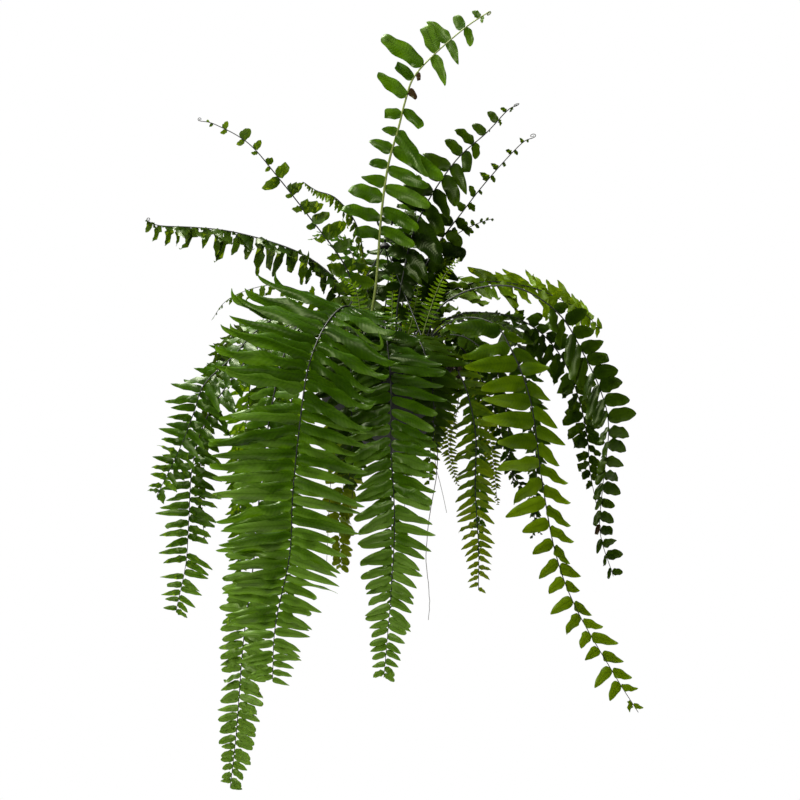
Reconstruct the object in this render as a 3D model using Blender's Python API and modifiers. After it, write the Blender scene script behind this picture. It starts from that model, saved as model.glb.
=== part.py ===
"""Hanging pot of sword fern: a turned plastic pot, its soil and root crown, a three-wire hanger,
and the fronds and runners that grow from the crown.

Metres, +Z up.  The origin is the inside top of the hanger's hook, where it bears on whatever
carries it.  -Y is the front.  Every frond is one grown piece: a stalk that rises from the crown
and a blade of leaflets along a smooth route through a few points.
"""

import math

import bmesh
import bpy
import numpy as np
from mathutils import Matrix, Vector

# Driving dimensions
GAP = 0.0003                # clearance between pieces that touch
RIM_Z = -0.230              # top of the pot's rim
RIM_RADIUS = 0.1050         # outside of the rim's lip
POT_HEIGHT = 0.125
POT_WALL = 0.0025
POT_BASE_RADIUS = 0.046
LIP_HEIGHT = 0.006
LIP_WIDTH = 0.004           # how far the lip stands out from the wall
SOIL_Z = RIM_Z - 0.018      # level of the soil
CROWN_Z = RIM_Z - 0.006     # top of the root crown, where the stalks start
CROWN_RADIUS = 0.064
CROWN_BULGE = 0.010          # how far the crown bulges half way down
CROWN_SPREAD = 0.012         # and at its foot
WIRE_RADIUS = 0.0012        # hanger wires
HOOK_RADIUS = 0.0016        # thickness radius of the hook's wire
HOOK_BEND = 0.0110          # centreline radius of the hook
COLLAR_Z = -0.046           # middle of the collar that gathers the wires
COLLAR_RADIUS = 0.0085
COLLAR_HEIGHT = 0.008
WIRE_AZIMUTHS = (71, 191, 311)
RUNNER_RADIUS = 0.0009
ROOT_MAT_SIZE = (0.020, 0.034, 0.040)   # half sizes before it is pressed on the pot
LEAF_THICKNESS = 0.0013
STALK_WIDTH = 0.0036
LEAFLET_SPACING = 0.029     # between the leaflet pairs of a blade
ROUND_STEPS = 40            # facets round the pot

COLLECTION_NAME = "hanging_potted_fern"


def clear_scene():
    for item in list(bpy.data.objects):
        bpy.data.objects.remove(item, do_unlink=True)


def new_collection(name):
    collection = bpy.data.collections.new(name)
    bpy.context.scene.collection.children.link(collection)
    return collection


def material(name, colour, roughness, metallic=0.0):
    found = bpy.data.materials.get(name)
    if found:
        return found
    made = bpy.data.materials.new(name)
    made.use_nodes = True
    shader = made.node_tree.nodes["Principled BSDF"]
    shader.inputs["Base Color"].default_value = (*colour, 1.0)
    shader.inputs["Roughness"].default_value = roughness
    shader.inputs["Metallic"].default_value = metallic
    return made


LEAF_COLOURS = {
    "leaf_fresh": (0.060, 0.140, 0.006),
    "leaf_dark": (0.022, 0.052, 0.012),
    "leaf_light": (0.095, 0.200, 0.010),
    "leaf_young": (0.200, 0.330, 0.020),
    "leaf_olive": (0.180, 0.230, 0.012),
}


def leaf_material(tint):
    return material(tint, LEAF_COLOURS[tint], 0.42)


def add_object(name, data, look):
    thing = bpy.data.objects.new(name, data)
    data.materials.append(look)
    bpy.data.collections[COLLECTION_NAME].objects.link(thing)
    return thing


def on_circle(radius, azimuth, z):
    angle = math.radians(azimuth)
    return (radius * math.cos(angle), radius * math.sin(angle), z)


# ---------------------------------------------------------------- turned pieces

def turned(name, profile, look, steps=ROUND_STEPS):
    """A solid of revolution; the profile of (radius, z) starts and ends on the axis."""
    mesh = bpy.data.meshes.new(name)
    points = [(radius, 0.0, z) for radius, z in profile]
    edges = [(i, i + 1) for i in range(len(points) - 1)]
    mesh.from_pydata(points, edges, [])
    thing = add_object(name, mesh, look)
    screw = thing.modifiers.new("Turn", "SCREW")
    screw.axis = "Z"
    screw.angle = math.tau
    screw.steps = steps
    screw.render_steps = steps
    screw.use_merge_vertices = True
    screw.merge_threshold = 0.0001
    screw.use_smooth_shade = True
    return thing


def pot_outer_radius(depth):
    """Outside radius of the pot's wall at a depth under the rim: a bowl that rounds in."""
    top_radius = RIM_RADIUS - LIP_WIDTH
    share = depth / POT_HEIGHT
    return POT_BASE_RADIUS + (top_radius - POT_BASE_RADIUS) * (1.0 - share ** 2.2)


def wall_depths():
    """Depths under the rim where the pot's wall has a point, from the soil's level down."""
    return [RIM_Z - SOIL_Z] + [POT_HEIGHT * share for share in (0.25, 0.45, 0.6, 0.75, 0.9)]


def make_pot():
    depths = wall_depths()
    base_z = RIM_Z - POT_HEIGHT
    mouth = RIM_RADIUS - LIP_WIDTH - POT_WALL
    inside = [(0.0, base_z + POT_WALL), (POT_BASE_RADIUS - POT_WALL, base_z + POT_WALL)]
    inside += [(pot_outer_radius(d) - POT_WALL, RIM_Z - d) for d in reversed(depths)]
    lip = [
        (mouth, RIM_Z - LIP_HEIGHT),
        (mouth, RIM_Z - 0.001),
        (mouth + 0.001, RIM_Z),
        (RIM_RADIUS - 0.001, RIM_Z),
        (RIM_RADIUS, RIM_Z - 0.001),
        (RIM_RADIUS, RIM_Z - LIP_HEIGHT + 0.001),
        (RIM_RADIUS - 0.001, RIM_Z - LIP_HEIGHT),
        (RIM_RADIUS - LIP_WIDTH, RIM_Z - LIP_HEIGHT),
    ]
    outside = [(pot_outer_radius(d), RIM_Z - d) for d in depths]
    base = [(POT_BASE_RADIUS, base_z + 0.001), (POT_BASE_RADIUS - 0.001, base_z), (0.0, base_z)]
    look = material("pot_plastic", (0.018, 0.020, 0.018), 0.55)
    turned("pot", inside + lip + outside + base, look)


def make_soil():
    """Fills the pot to SOIL_Z, a clearance inside the wall."""
    floor_z = RIM_Z - POT_HEIGHT + POT_WALL + GAP
    slack = POT_WALL + 2 * GAP
    side = [(pot_outer_radius(d) - slack, RIM_Z - d) for d in wall_depths()]
    foot = [(POT_BASE_RADIUS - slack - 0.001, floor_z), (0.0, floor_z)]
    look = material("potting_soil", (0.030, 0.020, 0.013), 0.95)
    turned("soil", [(0.0, SOIL_Z)] + side + foot, look)


def make_crown():
    """The matted rootstock that lies on the soil; its level top carries the stalks."""
    foot_z = SOIL_Z + GAP
    profile = [
        (0.0, CROWN_Z),
        (CROWN_RADIUS, CROWN_Z),
        (CROWN_RADIUS + CROWN_BULGE, (CROWN_Z + foot_z) / 2),
        (CROWN_RADIUS + CROWN_SPREAD, foot_z),
        (0.0, foot_z),
    ]
    look = material("root_fibre", (0.045, 0.028, 0.016), 0.9)
    turned("root_crown", profile, look)


def make_root_mat():
    """Old roots matted over the right of the rim: a flattened ball pressed on the pot and soil.

    The cutter is the pot, soil and crown in one turned shape, a clearance larger all over.
    """
    bpy.ops.mesh.primitive_uv_sphere_add(segments=14, ring_count=9, radius=1.0)
    mat = bpy.context.object
    mat.name = "root_mat"
    mat.data.name = "root_mat"
    mat.data.transform(Matrix.Diagonal((*ROOT_MAT_SIZE, 1.0)))
    mat.location = (RIM_RADIUS - LIP_WIDTH, 0.0, RIM_Z - 0.022)
    mat.data.materials.append(material("root_fibre", (0.045, 0.028, 0.016), 0.9))
    for owner in list(mat.users_collection):
        owner.objects.unlink(mat)
    bpy.data.collections[COLLECTION_NAME].objects.link(mat)

    mouth = RIM_RADIUS - LIP_WIDTH - POT_WALL
    lip_foot = RIM_Z - LIP_HEIGHT - GAP
    wall = [(pot_outer_radius(d) + GAP, RIM_Z - d) for d in wall_depths()]
    inside_soil = pot_outer_radius(RIM_Z - SOIL_Z) - POT_WALL - GAP
    profile = [
        (0.0, CROWN_Z + GAP),
        (CROWN_RADIUS + GAP, CROWN_Z + GAP),
        (CROWN_RADIUS + CROWN_BULGE + 2 * GAP, (CROWN_Z + SOIL_Z) / 2 + GAP),
        (CROWN_RADIUS + CROWN_SPREAD + 2 * GAP, SOIL_Z + GAP),
        (inside_soil, SOIL_Z + GAP),
        (mouth - GAP, RIM_Z - LIP_HEIGHT),
        (mouth - GAP, RIM_Z + GAP),
        (RIM_RADIUS + GAP, RIM_Z + GAP),
        (RIM_RADIUS + GAP, lip_foot),
        (RIM_RADIUS - LIP_WIDTH + GAP, lip_foot),
        *wall,
        (0.0, wall[-1][1]),
    ]
    cutter = turned("root_mat_cutter", profile, material("cutter", (0.5, 0.5, 0.5), 1.0))
    bpy.data.collections[COLLECTION_NAME].objects.unlink(cutter)
    new_collection("cutters").objects.link(cutter)
    cutter.hide_render = True
    cutter.display_type = "WIRE"
    cut = mat.modifiers.new("Seat", "BOOLEAN")
    cut.operation = "DIFFERENCE"
    cut.solver = "EXACT"
    cut.object = cutter


# ---------------------------------------------------------------- wires and hook

def tube(name, points, radius, look, sides_level=2):
    curve = bpy.data.curves.new(name, "CURVE")
    curve.dimensions = "3D"
    curve.bevel_depth = radius
    curve.bevel_resolution = sides_level
    curve.use_fill_caps = True
    spline = curve.splines.new("POLY")
    spline.points.add(len(points) - 1)
    for spot, place in zip(spline.points, points):
        spot.co = (*place, 1.0)
    return add_object(name, curve, look)


def make_hook():
    """An open wire hook over the origin, on a short shank that ends on the collar."""
    look = material("hanger_wire_coat", (0.012, 0.013, 0.012), 0.35, 0.6)
    centre_z = HOOK_RADIUS - HOOK_BEND
    shank = [(0.0, 0.0, COLLAR_Z + COLLAR_HEIGHT / 2 + GAP), (0.0, 0.0, centre_z - 0.018)]
    arc = []
    for degrees in range(210, -31, -20):
        angle = math.radians(degrees)
        arc.append((HOOK_BEND * math.cos(angle), 0.0, centre_z + HOOK_BEND * math.sin(angle)))
    tube("hanger_hook", shank + arc, HOOK_RADIUS, look)


def make_collar():
    look = material("hanger_wire_coat", (0.012, 0.013, 0.012), 0.35, 0.6)
    top = COLLAR_Z + COLLAR_HEIGHT / 2
    foot = COLLAR_Z - COLLAR_HEIGHT / 2
    profile = [
        (0.0, top),
        (COLLAR_RADIUS * 0.55, top),
        (COLLAR_RADIUS, COLLAR_Z),
        (COLLAR_RADIUS, foot),
        (0.0, foot),
    ]
    turned("hanger_collar", profile, look, steps=20)


def make_hanger_wires():
    """Each wire leaves the collar's underside, runs down to the rim and clips under its lip."""
    look = material("hanger_wire_coat", (0.012, 0.013, 0.012), 0.35, 0.6)
    start_z = COLLAR_Z - COLLAR_HEIGHT / 2 - GAP
    start_radius = COLLAR_RADIUS * 0.6
    outside = RIM_RADIUS + WIRE_RADIUS + GAP
    under_z = RIM_Z - LIP_HEIGHT - WIRE_RADIUS - GAP
    for number, azimuth in enumerate(WIRE_AZIMUTHS, start=1):
        points = [
            on_circle(start_radius, azimuth, start_z),
            on_circle(start_radius, azimuth, start_z - 0.003),
            on_circle(outside, azimuth, RIM_Z + 0.004),
            on_circle(outside, azimuth, RIM_Z - LIP_HEIGHT + 0.001),
            on_circle(RIM_RADIUS - 0.0002, azimuth, under_z - 0.0005),
            on_circle(RIM_RADIUS - LIP_WIDTH + WIRE_RADIUS + 2 * GAP, azimuth, under_z - 0.0005),
        ]
        tube(f"hanger_wire_{number}", points, WIRE_RADIUS, look)


# ---------------------------------------------------------------- fronds

def smooth_route(points, spans_per_gap=8):
    """A Catmull-Rom curve through the points."""
    p = np.array(points, dtype=float)
    p = np.vstack([2 * p[0] - p[1], p, 2 * p[-1] - p[-2]])
    out = []
    for a, b, c, d in zip(p[:-3], p[1:-2], p[2:-1], p[3:]):
        for t in np.arange(spans_per_gap) / spans_per_gap:
            out.append(0.5 * (2 * b + (c - a) * t + (2 * a - 5 * b + 4 * c - d) * t ** 2
                              + (3 * b - a - 3 * c + d) * t ** 3))
    out.append(p[-2])
    return np.array(out)


def points_along(route, shares):
    """Points at the given shares of the route's length."""
    steps = np.linalg.norm(np.diff(route, axis=0), axis=1)
    along = np.concatenate([[0.0], np.cumsum(steps)])
    places = np.array(shares) * along[-1]
    return np.array([np.interp(places, along, route[:, k]) for k in range(3)]).T


def route_length(route):
    return float(np.linalg.norm(np.diff(route, axis=0), axis=1).sum())


def blade_share(u, fullness):
    """Leaflet length along the blade, as a share of the longest: quick rise, then a taper.

    The taper starts later the greater the fullness.
    """
    return min(1.0, 0.45 + 2.8 * u) * (1.0 - u ** fullness) + 0.06


def side_vector(tangent, facing):
    """Level direction across a blade whose upper face looks towards the facing azimuth."""
    angle = math.radians(facing)
    level = Vector((-math.sin(angle), math.cos(angle), 0.0))
    return (level - level.dot(tangent) * tangent).normalized()


def frond(name, root, route, leaflet, facing, tint, bare=0.25, droop=0.25, sweep=0.25,
          fullness=1.3):
    """One frond: a flat stalk that stands on the crown and a blade of pointed leaflets.

    root is (x, y) on the crown, route the points that it then passes, leaflet the longest
    leaflet, facing the azimuths of the blade's face at its start and tip, bare the share of the
    stalk without leaflets, droop how far leaflets hang, sweep how far they lean to the tip and
    fullness how far along the blade they keep their length.
    """
    foot = [(root[0], root[1], CROWN_Z + GAP), (root[0], root[1], CROWN_Z + 0.014)]
    path = smooth_route(foot + list(route))
    length = route_length(path)
    pairs = max(4, round(length * (1.0 - bare) / LEAFLET_SPACING))
    stalk_steps = max(3, round(length * bare / 0.035))
    shares = list(np.linspace(0.0, bare, stalk_steps, endpoint=False))
    shares += list(np.linspace(bare, 1.0, pairs + 1))
    places = [Vector(p) for p in points_along(path, shares)]

    shape = bmesh.new()
    rows = []
    for i, (place, share) in enumerate(zip(places, shares)):
        ahead = places[min(i + 1, len(places) - 1)]
        behind = places[max(i - 1, 0)]
        tangent = (ahead - behind).normalized()
        if i == 0:
            tangent = Vector((0.0, 0.0, 1.0))
        look_at = facing[0] + (facing[1] - facing[0]) * share
        side = side_vector(tangent, look_at)
        half = STALK_WIDTH * (0.5 - 0.3 * share)
        left = shape.verts.new(place - side * half)
        right = shape.verts.new(place + side * half)
        rows.append((place, tangent, side, left, right))

    for i in range(len(rows) - 1):
        place, tangent, side, left, right = rows[i]
        next_place, _, _, next_left, next_right = rows[i + 1]
        shape.faces.new((left, right, next_right, next_left))
        if i < stalk_steps:
            continue
        u = (i - stalk_steps + 0.5) / pairs
        reach = leaflet * blade_share(u, fullness)
        middle = (place + next_place) / 2
        for sign, near, far in ((-1.0, left, next_left), (1.0, right, next_right)):
            heading = side * sign + tangent * sweep + Vector((0.0, 0.0, -droop))
            tip = shape.verts.new(middle + heading.normalized() * reach)
            corners = (near, far, tip) if sign < 0 else (far, near, tip)
            shape.faces.new(corners)

    mesh = bpy.data.meshes.new(name)
    shape.to_mesh(mesh)
    shape.free()
    thing = add_object(name, mesh, leaf_material(tint))
    wall = thing.modifiers.new("Thickness", "SOLIDIFY")
    wall.thickness = LEAF_THICKNESS
    wall.offset = 0.0
    return thing


def arch(azimuth, rise, reach, drop):
    """Points of a frond that rises from the crown, arches outwards and hangs."""
    return [
        on_circle(0.34 * reach, azimuth, CROWN_Z + 0.75 * rise),
        on_circle(0.62 * reach, azimuth, CROWN_Z + rise),
        on_circle(0.88 * reach, azimuth, CROWN_Z + 0.55 * rise),
        on_circle(0.99 * reach, azimuth, CROWN_Z - 0.25 * drop),
        on_circle(1.03 * reach, azimuth, CROWN_Z - 0.65 * drop),
        on_circle(1.00 * reach, azimuth, CROWN_Z - drop),
    ]


def make_front_fronds():
    frond("frond_front_left_broad", (-0.020, -0.040), [
        (-0.035, -0.085, -0.160), (-0.055, -0.145, -0.145), (-0.080, -0.215, -0.175),
        (-0.100, -0.265, -0.230), (-0.110, -0.290, -0.300), (-0.120, -0.295, -0.400),
        (-0.125, -0.285, -0.485), (-0.145, -0.270, -0.580), (-0.150, -0.255, -0.655)],
        0.125, (-75, -75), "leaf_fresh", bare=0.14, fullness=3.5)
    frond("frond_front_left_long", (-0.042, -0.030), [
        (-0.055, -0.060, -0.165), (-0.095, -0.110, -0.155), (-0.135, -0.155, -0.200),
        (-0.155, -0.185, -0.280), (-0.170, -0.200, -0.390), (-0.180, -0.200, -0.500),
        (-0.195, -0.195, -0.615), (-0.205, -0.185, -0.735), (-0.215, -0.175, -0.820)],
        0.055, (-130, -130), "leaf_fresh", bare=0.22, fullness=3.0)
    frond("frond_front_middle", (0.004, -0.052), [
        (0.000, -0.120, -0.165), (0.005, -0.175, -0.200), (0.010, -0.200, -0.260),
        (0.010, -0.210, -0.340), (0.015, -0.205, -0.445), (0.010, -0.195, -0.545),
        (0.000, -0.180, -0.665)],
        0.082, (-90, -90), "leaf_fresh", bare=0.20, fullness=2.0)
    frond("frond_front_right_long", (0.044, -0.038), [
        (0.074, -0.068, -0.180), (0.112, -0.112, -0.160), (0.155, -0.148, -0.170),
        (0.180, -0.170, -0.210), (0.205, -0.180, -0.280), (0.220, -0.180, -0.385),
        (0.240, -0.170, -0.490), (0.270, -0.160, -0.570), (0.325, -0.150, -0.665),
        (0.360, -0.145, -0.720)],
        0.085, (-65, -50), "leaf_light", bare=0.20)
    frond("frond_right_middle", (0.026, -0.040), [
        (0.046, -0.066, -0.202), (0.082, -0.104, -0.204), (0.114, -0.126, -0.255),
        (0.130, -0.130, -0.325), (0.130, -0.125, -0.405), (0.135, -0.120, -0.490),
        (0.135, -0.115, -0.550)],
        0.044, (-80, -80), "leaf_olive", bare=0.30, fullness=2.0)
    frond("frond_front_fill_left", (-0.008, -0.034), [
        (-0.020, -0.075, -0.182), (-0.040, -0.115, -0.190), (-0.048, -0.142, -0.245),
        (-0.045, -0.160, -0.320), (-0.050, -0.155, -0.400)],
        0.070, (-95, -95), "leaf_dark", bare=0.25)
    frond("frond_front_fill_right", (0.018, -0.024), [
        (0.028, -0.065, -0.188), (0.048, -0.110, -0.190), (0.063, -0.142, -0.230),
        (0.070, -0.152, -0.285), (0.070, -0.150, -0.340)],
        0.065, (-80, -80), "leaf_dark", bare=0.25)


def make_left_fronds():
    frond("frond_left_outer", (-0.056, -0.014), [
        (-0.090, -0.050, -0.165), (-0.145, -0.090, -0.155), (-0.185, -0.115, -0.180),
        (-0.215, -0.130, -0.215), (-0.255, -0.140, -0.255), (-0.270, -0.140, -0.295),
        (-0.290, -0.135, -0.345), (-0.325, -0.125, -0.415)],
        0.048, (-150, -130), "leaf_fresh", bare=0.34, fullness=2.0)
    frond("frond_left_hanging", (-0.054, 0.006), [
        (-0.090, -0.004, -0.170), (-0.140, -0.012, -0.165), (-0.190, -0.018, -0.200),
        (-0.230, -0.022, -0.250), (-0.265, -0.028, -0.305), (-0.285, -0.032, -0.375),
        (-0.290, -0.035, -0.455), (-0.295, -0.030, -0.520), (-0.310, -0.025, -0.590)],
        0.048, (-150, -120), "leaf_fresh", bare=0.30, fullness=2.0)
    frond("frond_left_inner", (-0.046, -0.008), [
        (-0.075, -0.035, -0.170), (-0.120, -0.065, -0.165), (-0.155, -0.090, -0.210),
        (-0.175, -0.100, -0.280), (-0.185, -0.105, -0.350), (-0.195, -0.100, -0.420)],
        0.058, (-135, -125), "leaf_dark", bare=0.30)
    frond("frond_left_small", (-0.050, -0.024), [
        (-0.068, -0.032, -0.160), (-0.110, -0.040, -0.125), (-0.155, -0.045, -0.108),
        (-0.200, -0.048, -0.115), (-0.235, -0.048, -0.133), (-0.255, -0.046, -0.160)],
        0.026, (-150, -150), "leaf_light", bare=0.35)
    frond("frond_left_level", (-0.036, 0.018), [
        (-0.048, 0.030, -0.145), (-0.075, 0.045, -0.095), (-0.120, 0.055, -0.058),
        (-0.175, 0.060, -0.035), (-0.240, 0.065, -0.018), (-0.295, 0.065, -0.012),
        (-0.345, 0.060, -0.010), (-0.365, 0.060, -0.003)],
        0.046, (-170, -160), "leaf_dark", bare=0.30, droop=0.9)
    frond("frond_left_rising", (-0.028, 0.002), [
        (-0.035, 0.004, -0.160), (-0.050, 0.004, -0.100), (-0.070, 0.002, -0.060),
        (-0.112, 0.000, -0.005), (-0.160, 0.000, 0.056), (-0.205, 0.005, 0.108),
        (-0.255, 0.010, 0.137), (-0.280, 0.010, 0.143)],
        0.030, (-120, -110), "leaf_light", bare=0.30)
    frond("frond_left_feathery", (-0.018, 0.022), [
        (-0.024, 0.028, -0.140), (-0.032, 0.036, -0.065), (-0.045, 0.042, -0.008),
        (-0.075, 0.044, 0.030), (-0.105, 0.044, 0.042), (-0.125, 0.044, 0.055)],
        0.048, (-150, -150), "leaf_light", bare=0.45, droop=0.8)


def make_right_fronds():
    frond("frond_right_broad", (0.056, -0.012), [
        (0.075, -0.010, -0.150), (0.115, -0.020, -0.118), (0.170, -0.035, -0.108),
        (0.215, -0.045, -0.120), (0.260, -0.050, -0.155), (0.290, -0.050, -0.205),
        (0.318, -0.050, -0.265), (0.330, -0.045, -0.320), (0.322, -0.035, -0.410),
        (0.320, -0.025, -0.475), (0.340, -0.020, -0.540)],
        0.052, (-40, -60), "leaf_dark", bare=0.24, fullness=2.0)
    frond("frond_right_light_arch", (0.050, 0.022), [
        (0.072, 0.036, -0.140), (0.108, 0.048, -0.108), (0.160, 0.060, -0.096),
        (0.225, 0.070, -0.104), (0.272, 0.070, -0.124), (0.305, 0.070, -0.143),
        (0.330, 0.065, -0.168)],
        0.045, (-20, -20), "leaf_light", bare=0.22, droop=0.3)
    frond("frond_right_back_dark", (0.052, 0.006), [
        (0.085, 0.018, -0.160), (0.160, 0.036, -0.145), (0.225, 0.050, -0.165),
        (0.272, 0.056, -0.215), (0.298, 0.058, -0.280), (0.310, 0.056, -0.340),
        (0.313, 0.052, -0.385), (0.322, 0.048, -0.435)],
        0.048, (-40, -60), "leaf_dark", bare=0.30)
    frond("frond_right_low", (0.054, -0.002), [
        (0.080, -0.004, -0.185), (0.122, -0.014, -0.185), (0.162, -0.026, -0.225),
        (0.180, -0.034, -0.290), (0.184, -0.036, -0.350), (0.190, -0.034, -0.400)],
        0.046, (-30, -40), "leaf_dark", bare=0.30)
    frond("frond_right_inner", (0.032, 0.002), [
        (0.060, 0.006, -0.180), (0.110, 0.010, -0.195), (0.148, 0.015, -0.250),
        (0.175, 0.020, -0.325), (0.195, 0.020, -0.390), (0.222, 0.020, -0.432),
        (0.235, 0.020, -0.480)],
        0.034, (-60, -60), "leaf_dark", bare=0.35)
    frond("frond_right_fine_near", (0.018, 0.040), [
        (0.055, 0.078, -0.180), (0.085, 0.108, -0.225), (0.095, 0.118, -0.295),
        (0.100, 0.120, -0.365), (0.113, 0.115, -0.412)],
        0.022, (-90, -90), "leaf_olive", bare=0.35)
    frond("frond_right_fine_far", (0.042, 0.040), [
        (0.066, 0.062, -0.175), (0.115, 0.095, -0.195), (0.150, 0.108, -0.265),
        (0.165, 0.110, -0.350), (0.175, 0.105, -0.440)],
        0.022, (-80, -80), "leaf_olive", bare=0.40)


def make_upright_fronds():
    frond("frond_upright_tall", (-0.018, -0.020), [
        (-0.020, -0.028, -0.160), (-0.012, -0.045, -0.100), (-0.005, -0.070, -0.010),
        (0.005, -0.090, 0.060), (0.020, -0.110, 0.112), (0.030, -0.120, 0.150),
        (0.042, -0.130, 0.182), (0.070, -0.140, 0.212), (0.115, -0.145, 0.250),
        (0.148, -0.145, 0.272)],
        0.068, (-120, -110), "leaf_fresh", bare=0.30, fullness=3.0)
    frond("frond_upright_right_near", (0.016, -0.034), [
        (0.018, -0.044, -0.150), (0.024, -0.048, -0.110), (0.038, -0.050, -0.045),
        (0.062, -0.052, 0.012), (0.105, -0.052, 0.075), (0.150, -0.050, 0.116),
        (0.180, -0.050, 0.148), (0.195, -0.050, 0.156)],
        0.055, (-115, -80), "leaf_dark", bare=0.36)
    frond("frond_upright_right_far", (0.026, 0.014), [
        (0.040, 0.016, -0.125), (0.075, 0.022, -0.050), (0.115, 0.028, 0.005),
        (0.156, 0.030, 0.057), (0.205, 0.030, 0.110), (0.226, 0.030, 0.121)],
        0.048, (-80, -70), "leaf_dark", bare=0.30)
    frond("frond_upright_right_short", (0.038, 0.024), [
        (0.055, 0.034, -0.125), (0.082, 0.042, -0.068), (0.106, 0.046, -0.028),
        (0.136, 0.048, -0.010), (0.165, 0.048, 0.000)],
        0.032, (-80, -70), "leaf_dark", bare=0.35)
    frond("frond_upright_middle", (0.020, 0.022), [
        (0.026, 0.034, -0.140), (0.030, 0.052, -0.085), (0.040, 0.066, -0.020),
        (0.050, 0.068, 0.030), (0.048, 0.062, 0.070)],
        0.050, (-115, -100), "leaf_fresh", bare=0.40)
    frond("frond_upright_back_left", (-0.020, 0.050), [
        (-0.028, 0.066, -0.150), (-0.040, 0.100, -0.085), (-0.060, 0.135, -0.035),
        (-0.090, 0.165, -0.010), (-0.120, 0.185, -0.020)],
        0.050, (120, 120), "leaf_fresh", bare=0.30)
    frond("frond_upright_back", (0.000, 0.028), [
        (0.000, 0.045, -0.140), (0.010, 0.080, -0.060), (0.026, 0.110, 0.005),
        (0.046, 0.130, 0.058)],
        0.060, (80, 80), "leaf_dark", bare=0.35)


def make_young_fronds():
    """Slender new fronds, hardly opened, that stand in the crown."""
    frond("frond_young_left", (-0.032, -0.014), [
        (-0.036, -0.026, -0.160), (-0.044, -0.032, -0.112), (-0.072, -0.034, -0.094)],
        0.014, (-100, -100), "leaf_young", bare=0.4)
    frond("frond_young_front", (0.006, -0.030), [
        (0.010, -0.036, -0.160), (0.012, -0.040, -0.080)],
        0.011, (-90, -90), "leaf_young", bare=0.4)
    frond("frond_young_middle", (0.020, 0.002), [
        (0.040, 0.000, -0.160), (0.052, -0.004, -0.095)],
        0.013, (-90, -90), "leaf_young", bare=0.4)
    frond("frond_young_right", (0.046, -0.022), [
        (0.062, -0.022, -0.160), (0.084, -0.022, -0.100), (0.110, -0.022, -0.068)],
        0.014, (-80, -80), "leaf_young", bare=0.5)
    frond("frond_young_back", (-0.022, 0.036), [
        (-0.034, 0.056, -0.150), (-0.050, 0.075, -0.100)],
        0.016, (90, 90), "leaf_young", bare=0.4)


BACK_FRONDS = (
    # name, azimuth, rise, reach, drop, longest leaflet, tint
    ("frond_back_far_right", 36, 0.095, 0.290, 0.260, 0.055, "leaf_dark"),
    ("frond_back_right", 52, 0.085, 0.240, 0.290, 0.045, "leaf_fresh"),
    ("frond_back_middle_right", 74, 0.110, 0.255, 0.180, 0.060, "leaf_light"),
    ("frond_back_middle", 88, 0.075, 0.235, 0.380, 0.055, "leaf_fresh"),
    ("frond_back_middle_left", 106, 0.100, 0.250, 0.170, 0.060, "leaf_dark"),
    ("frond_back_left", 127, 0.072, 0.265, 0.420, 0.060, "leaf_fresh"),
    ("frond_back_far_left", 142, 0.090, 0.290, 0.380, 0.060, "leaf_fresh"),
    ("frond_back_left_side", 160, 0.080, 0.300, 0.260, 0.050, "leaf_dark"),
)
BACK_ROOT_RADIUS = 0.052


def make_back_fronds():
    for name, azimuth, rise, reach, drop, leaflet, tint in BACK_FRONDS:
        root = on_circle(BACK_ROOT_RADIUS, azimuth, 0.0)[:2]
        route = arch(azimuth, rise, reach, drop)
        frond(name, root, route, leaflet, (azimuth, azimuth), tint, bare=0.22)
    frond("frond_back_hanging_olive", (-0.026, 0.050), [
        (-0.034, 0.085, -0.170), (-0.052, 0.120, -0.190), (-0.064, 0.145, -0.280),
        (-0.065, 0.150, -0.390), (-0.074, 0.145, -0.470), (-0.070, 0.140, -0.540)],
        0.024, (-100, -80), "leaf_olive", bare=0.35)


RUNNERS = (
    # name, azimuth where it crosses the rim, and the points that it hangs through
    ("runner_right_long", -31, [(0.078, -0.092, -0.300), (0.076, -0.094, -0.380),
                                (0.066, -0.098, -0.440), (0.060, -0.100, -0.500),
                                (0.065, -0.100, -0.560), (0.064, -0.100, -0.595)]),
    ("runner_right_near", -60, [(0.066, -0.106, -0.300), (0.074, -0.108, -0.370),
                                (0.090, -0.106, -0.440)]),
    ("runner_right_short", -20, [(0.108, -0.052, -0.280), (0.098, -0.062, -0.330),
                                 (0.094, -0.066, -0.360)]),
    ("runner_left_long", -126, [(-0.074, -0.100, -0.300), (-0.078, -0.104, -0.400),
                                (-0.084, -0.102, -0.520)]),
    ("runner_left_near", -112, [(-0.046, -0.112, -0.300), (-0.044, -0.112, -0.380),
                                (-0.050, -0.108, -0.450)]),
    ("runner_back", 58, [(0.044, 0.114, -0.300), (0.034, 0.116, -0.370),
                         (0.030, 0.112, -0.450)]),
)


def make_runners():
    """Thin bare runners that creep over the crown and the rim and hang."""
    look = material("runner_skin", (0.050, 0.032, 0.018), 0.7)
    on_crown = CROWN_Z + RUNNER_RADIUS + GAP
    for name, azimuth, hanging in RUNNERS:
        points = [
            on_circle(CROWN_RADIUS - 0.006, azimuth, on_crown),
            on_circle(CROWN_RADIUS, azimuth, on_crown),
            on_circle(RIM_RADIUS - 0.012, azimuth, RIM_Z + 0.008),
            on_circle(RIM_RADIUS + 0.002, azimuth, RIM_Z + 0.005),
            on_circle(RIM_RADIUS + 0.009, azimuth, RIM_Z - 0.012),
        ]
        path = smooth_route(points + hanging)
        spots = points_along(path, np.linspace(0.0, 1.0, 16))
        tube(name, [tuple(spot) for spot in spots], RUNNER_RADIUS, look, sides_level=1)


clear_scene()
new_collection(COLLECTION_NAME)
make_pot()
make_soil()
make_crown()
make_root_mat()
make_hook()
make_collar()
make_hanger_wires()
make_front_fronds()
make_left_fronds()
make_right_fronds()
make_upright_fronds()
make_young_fronds()
make_back_fronds()
make_runners()
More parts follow.
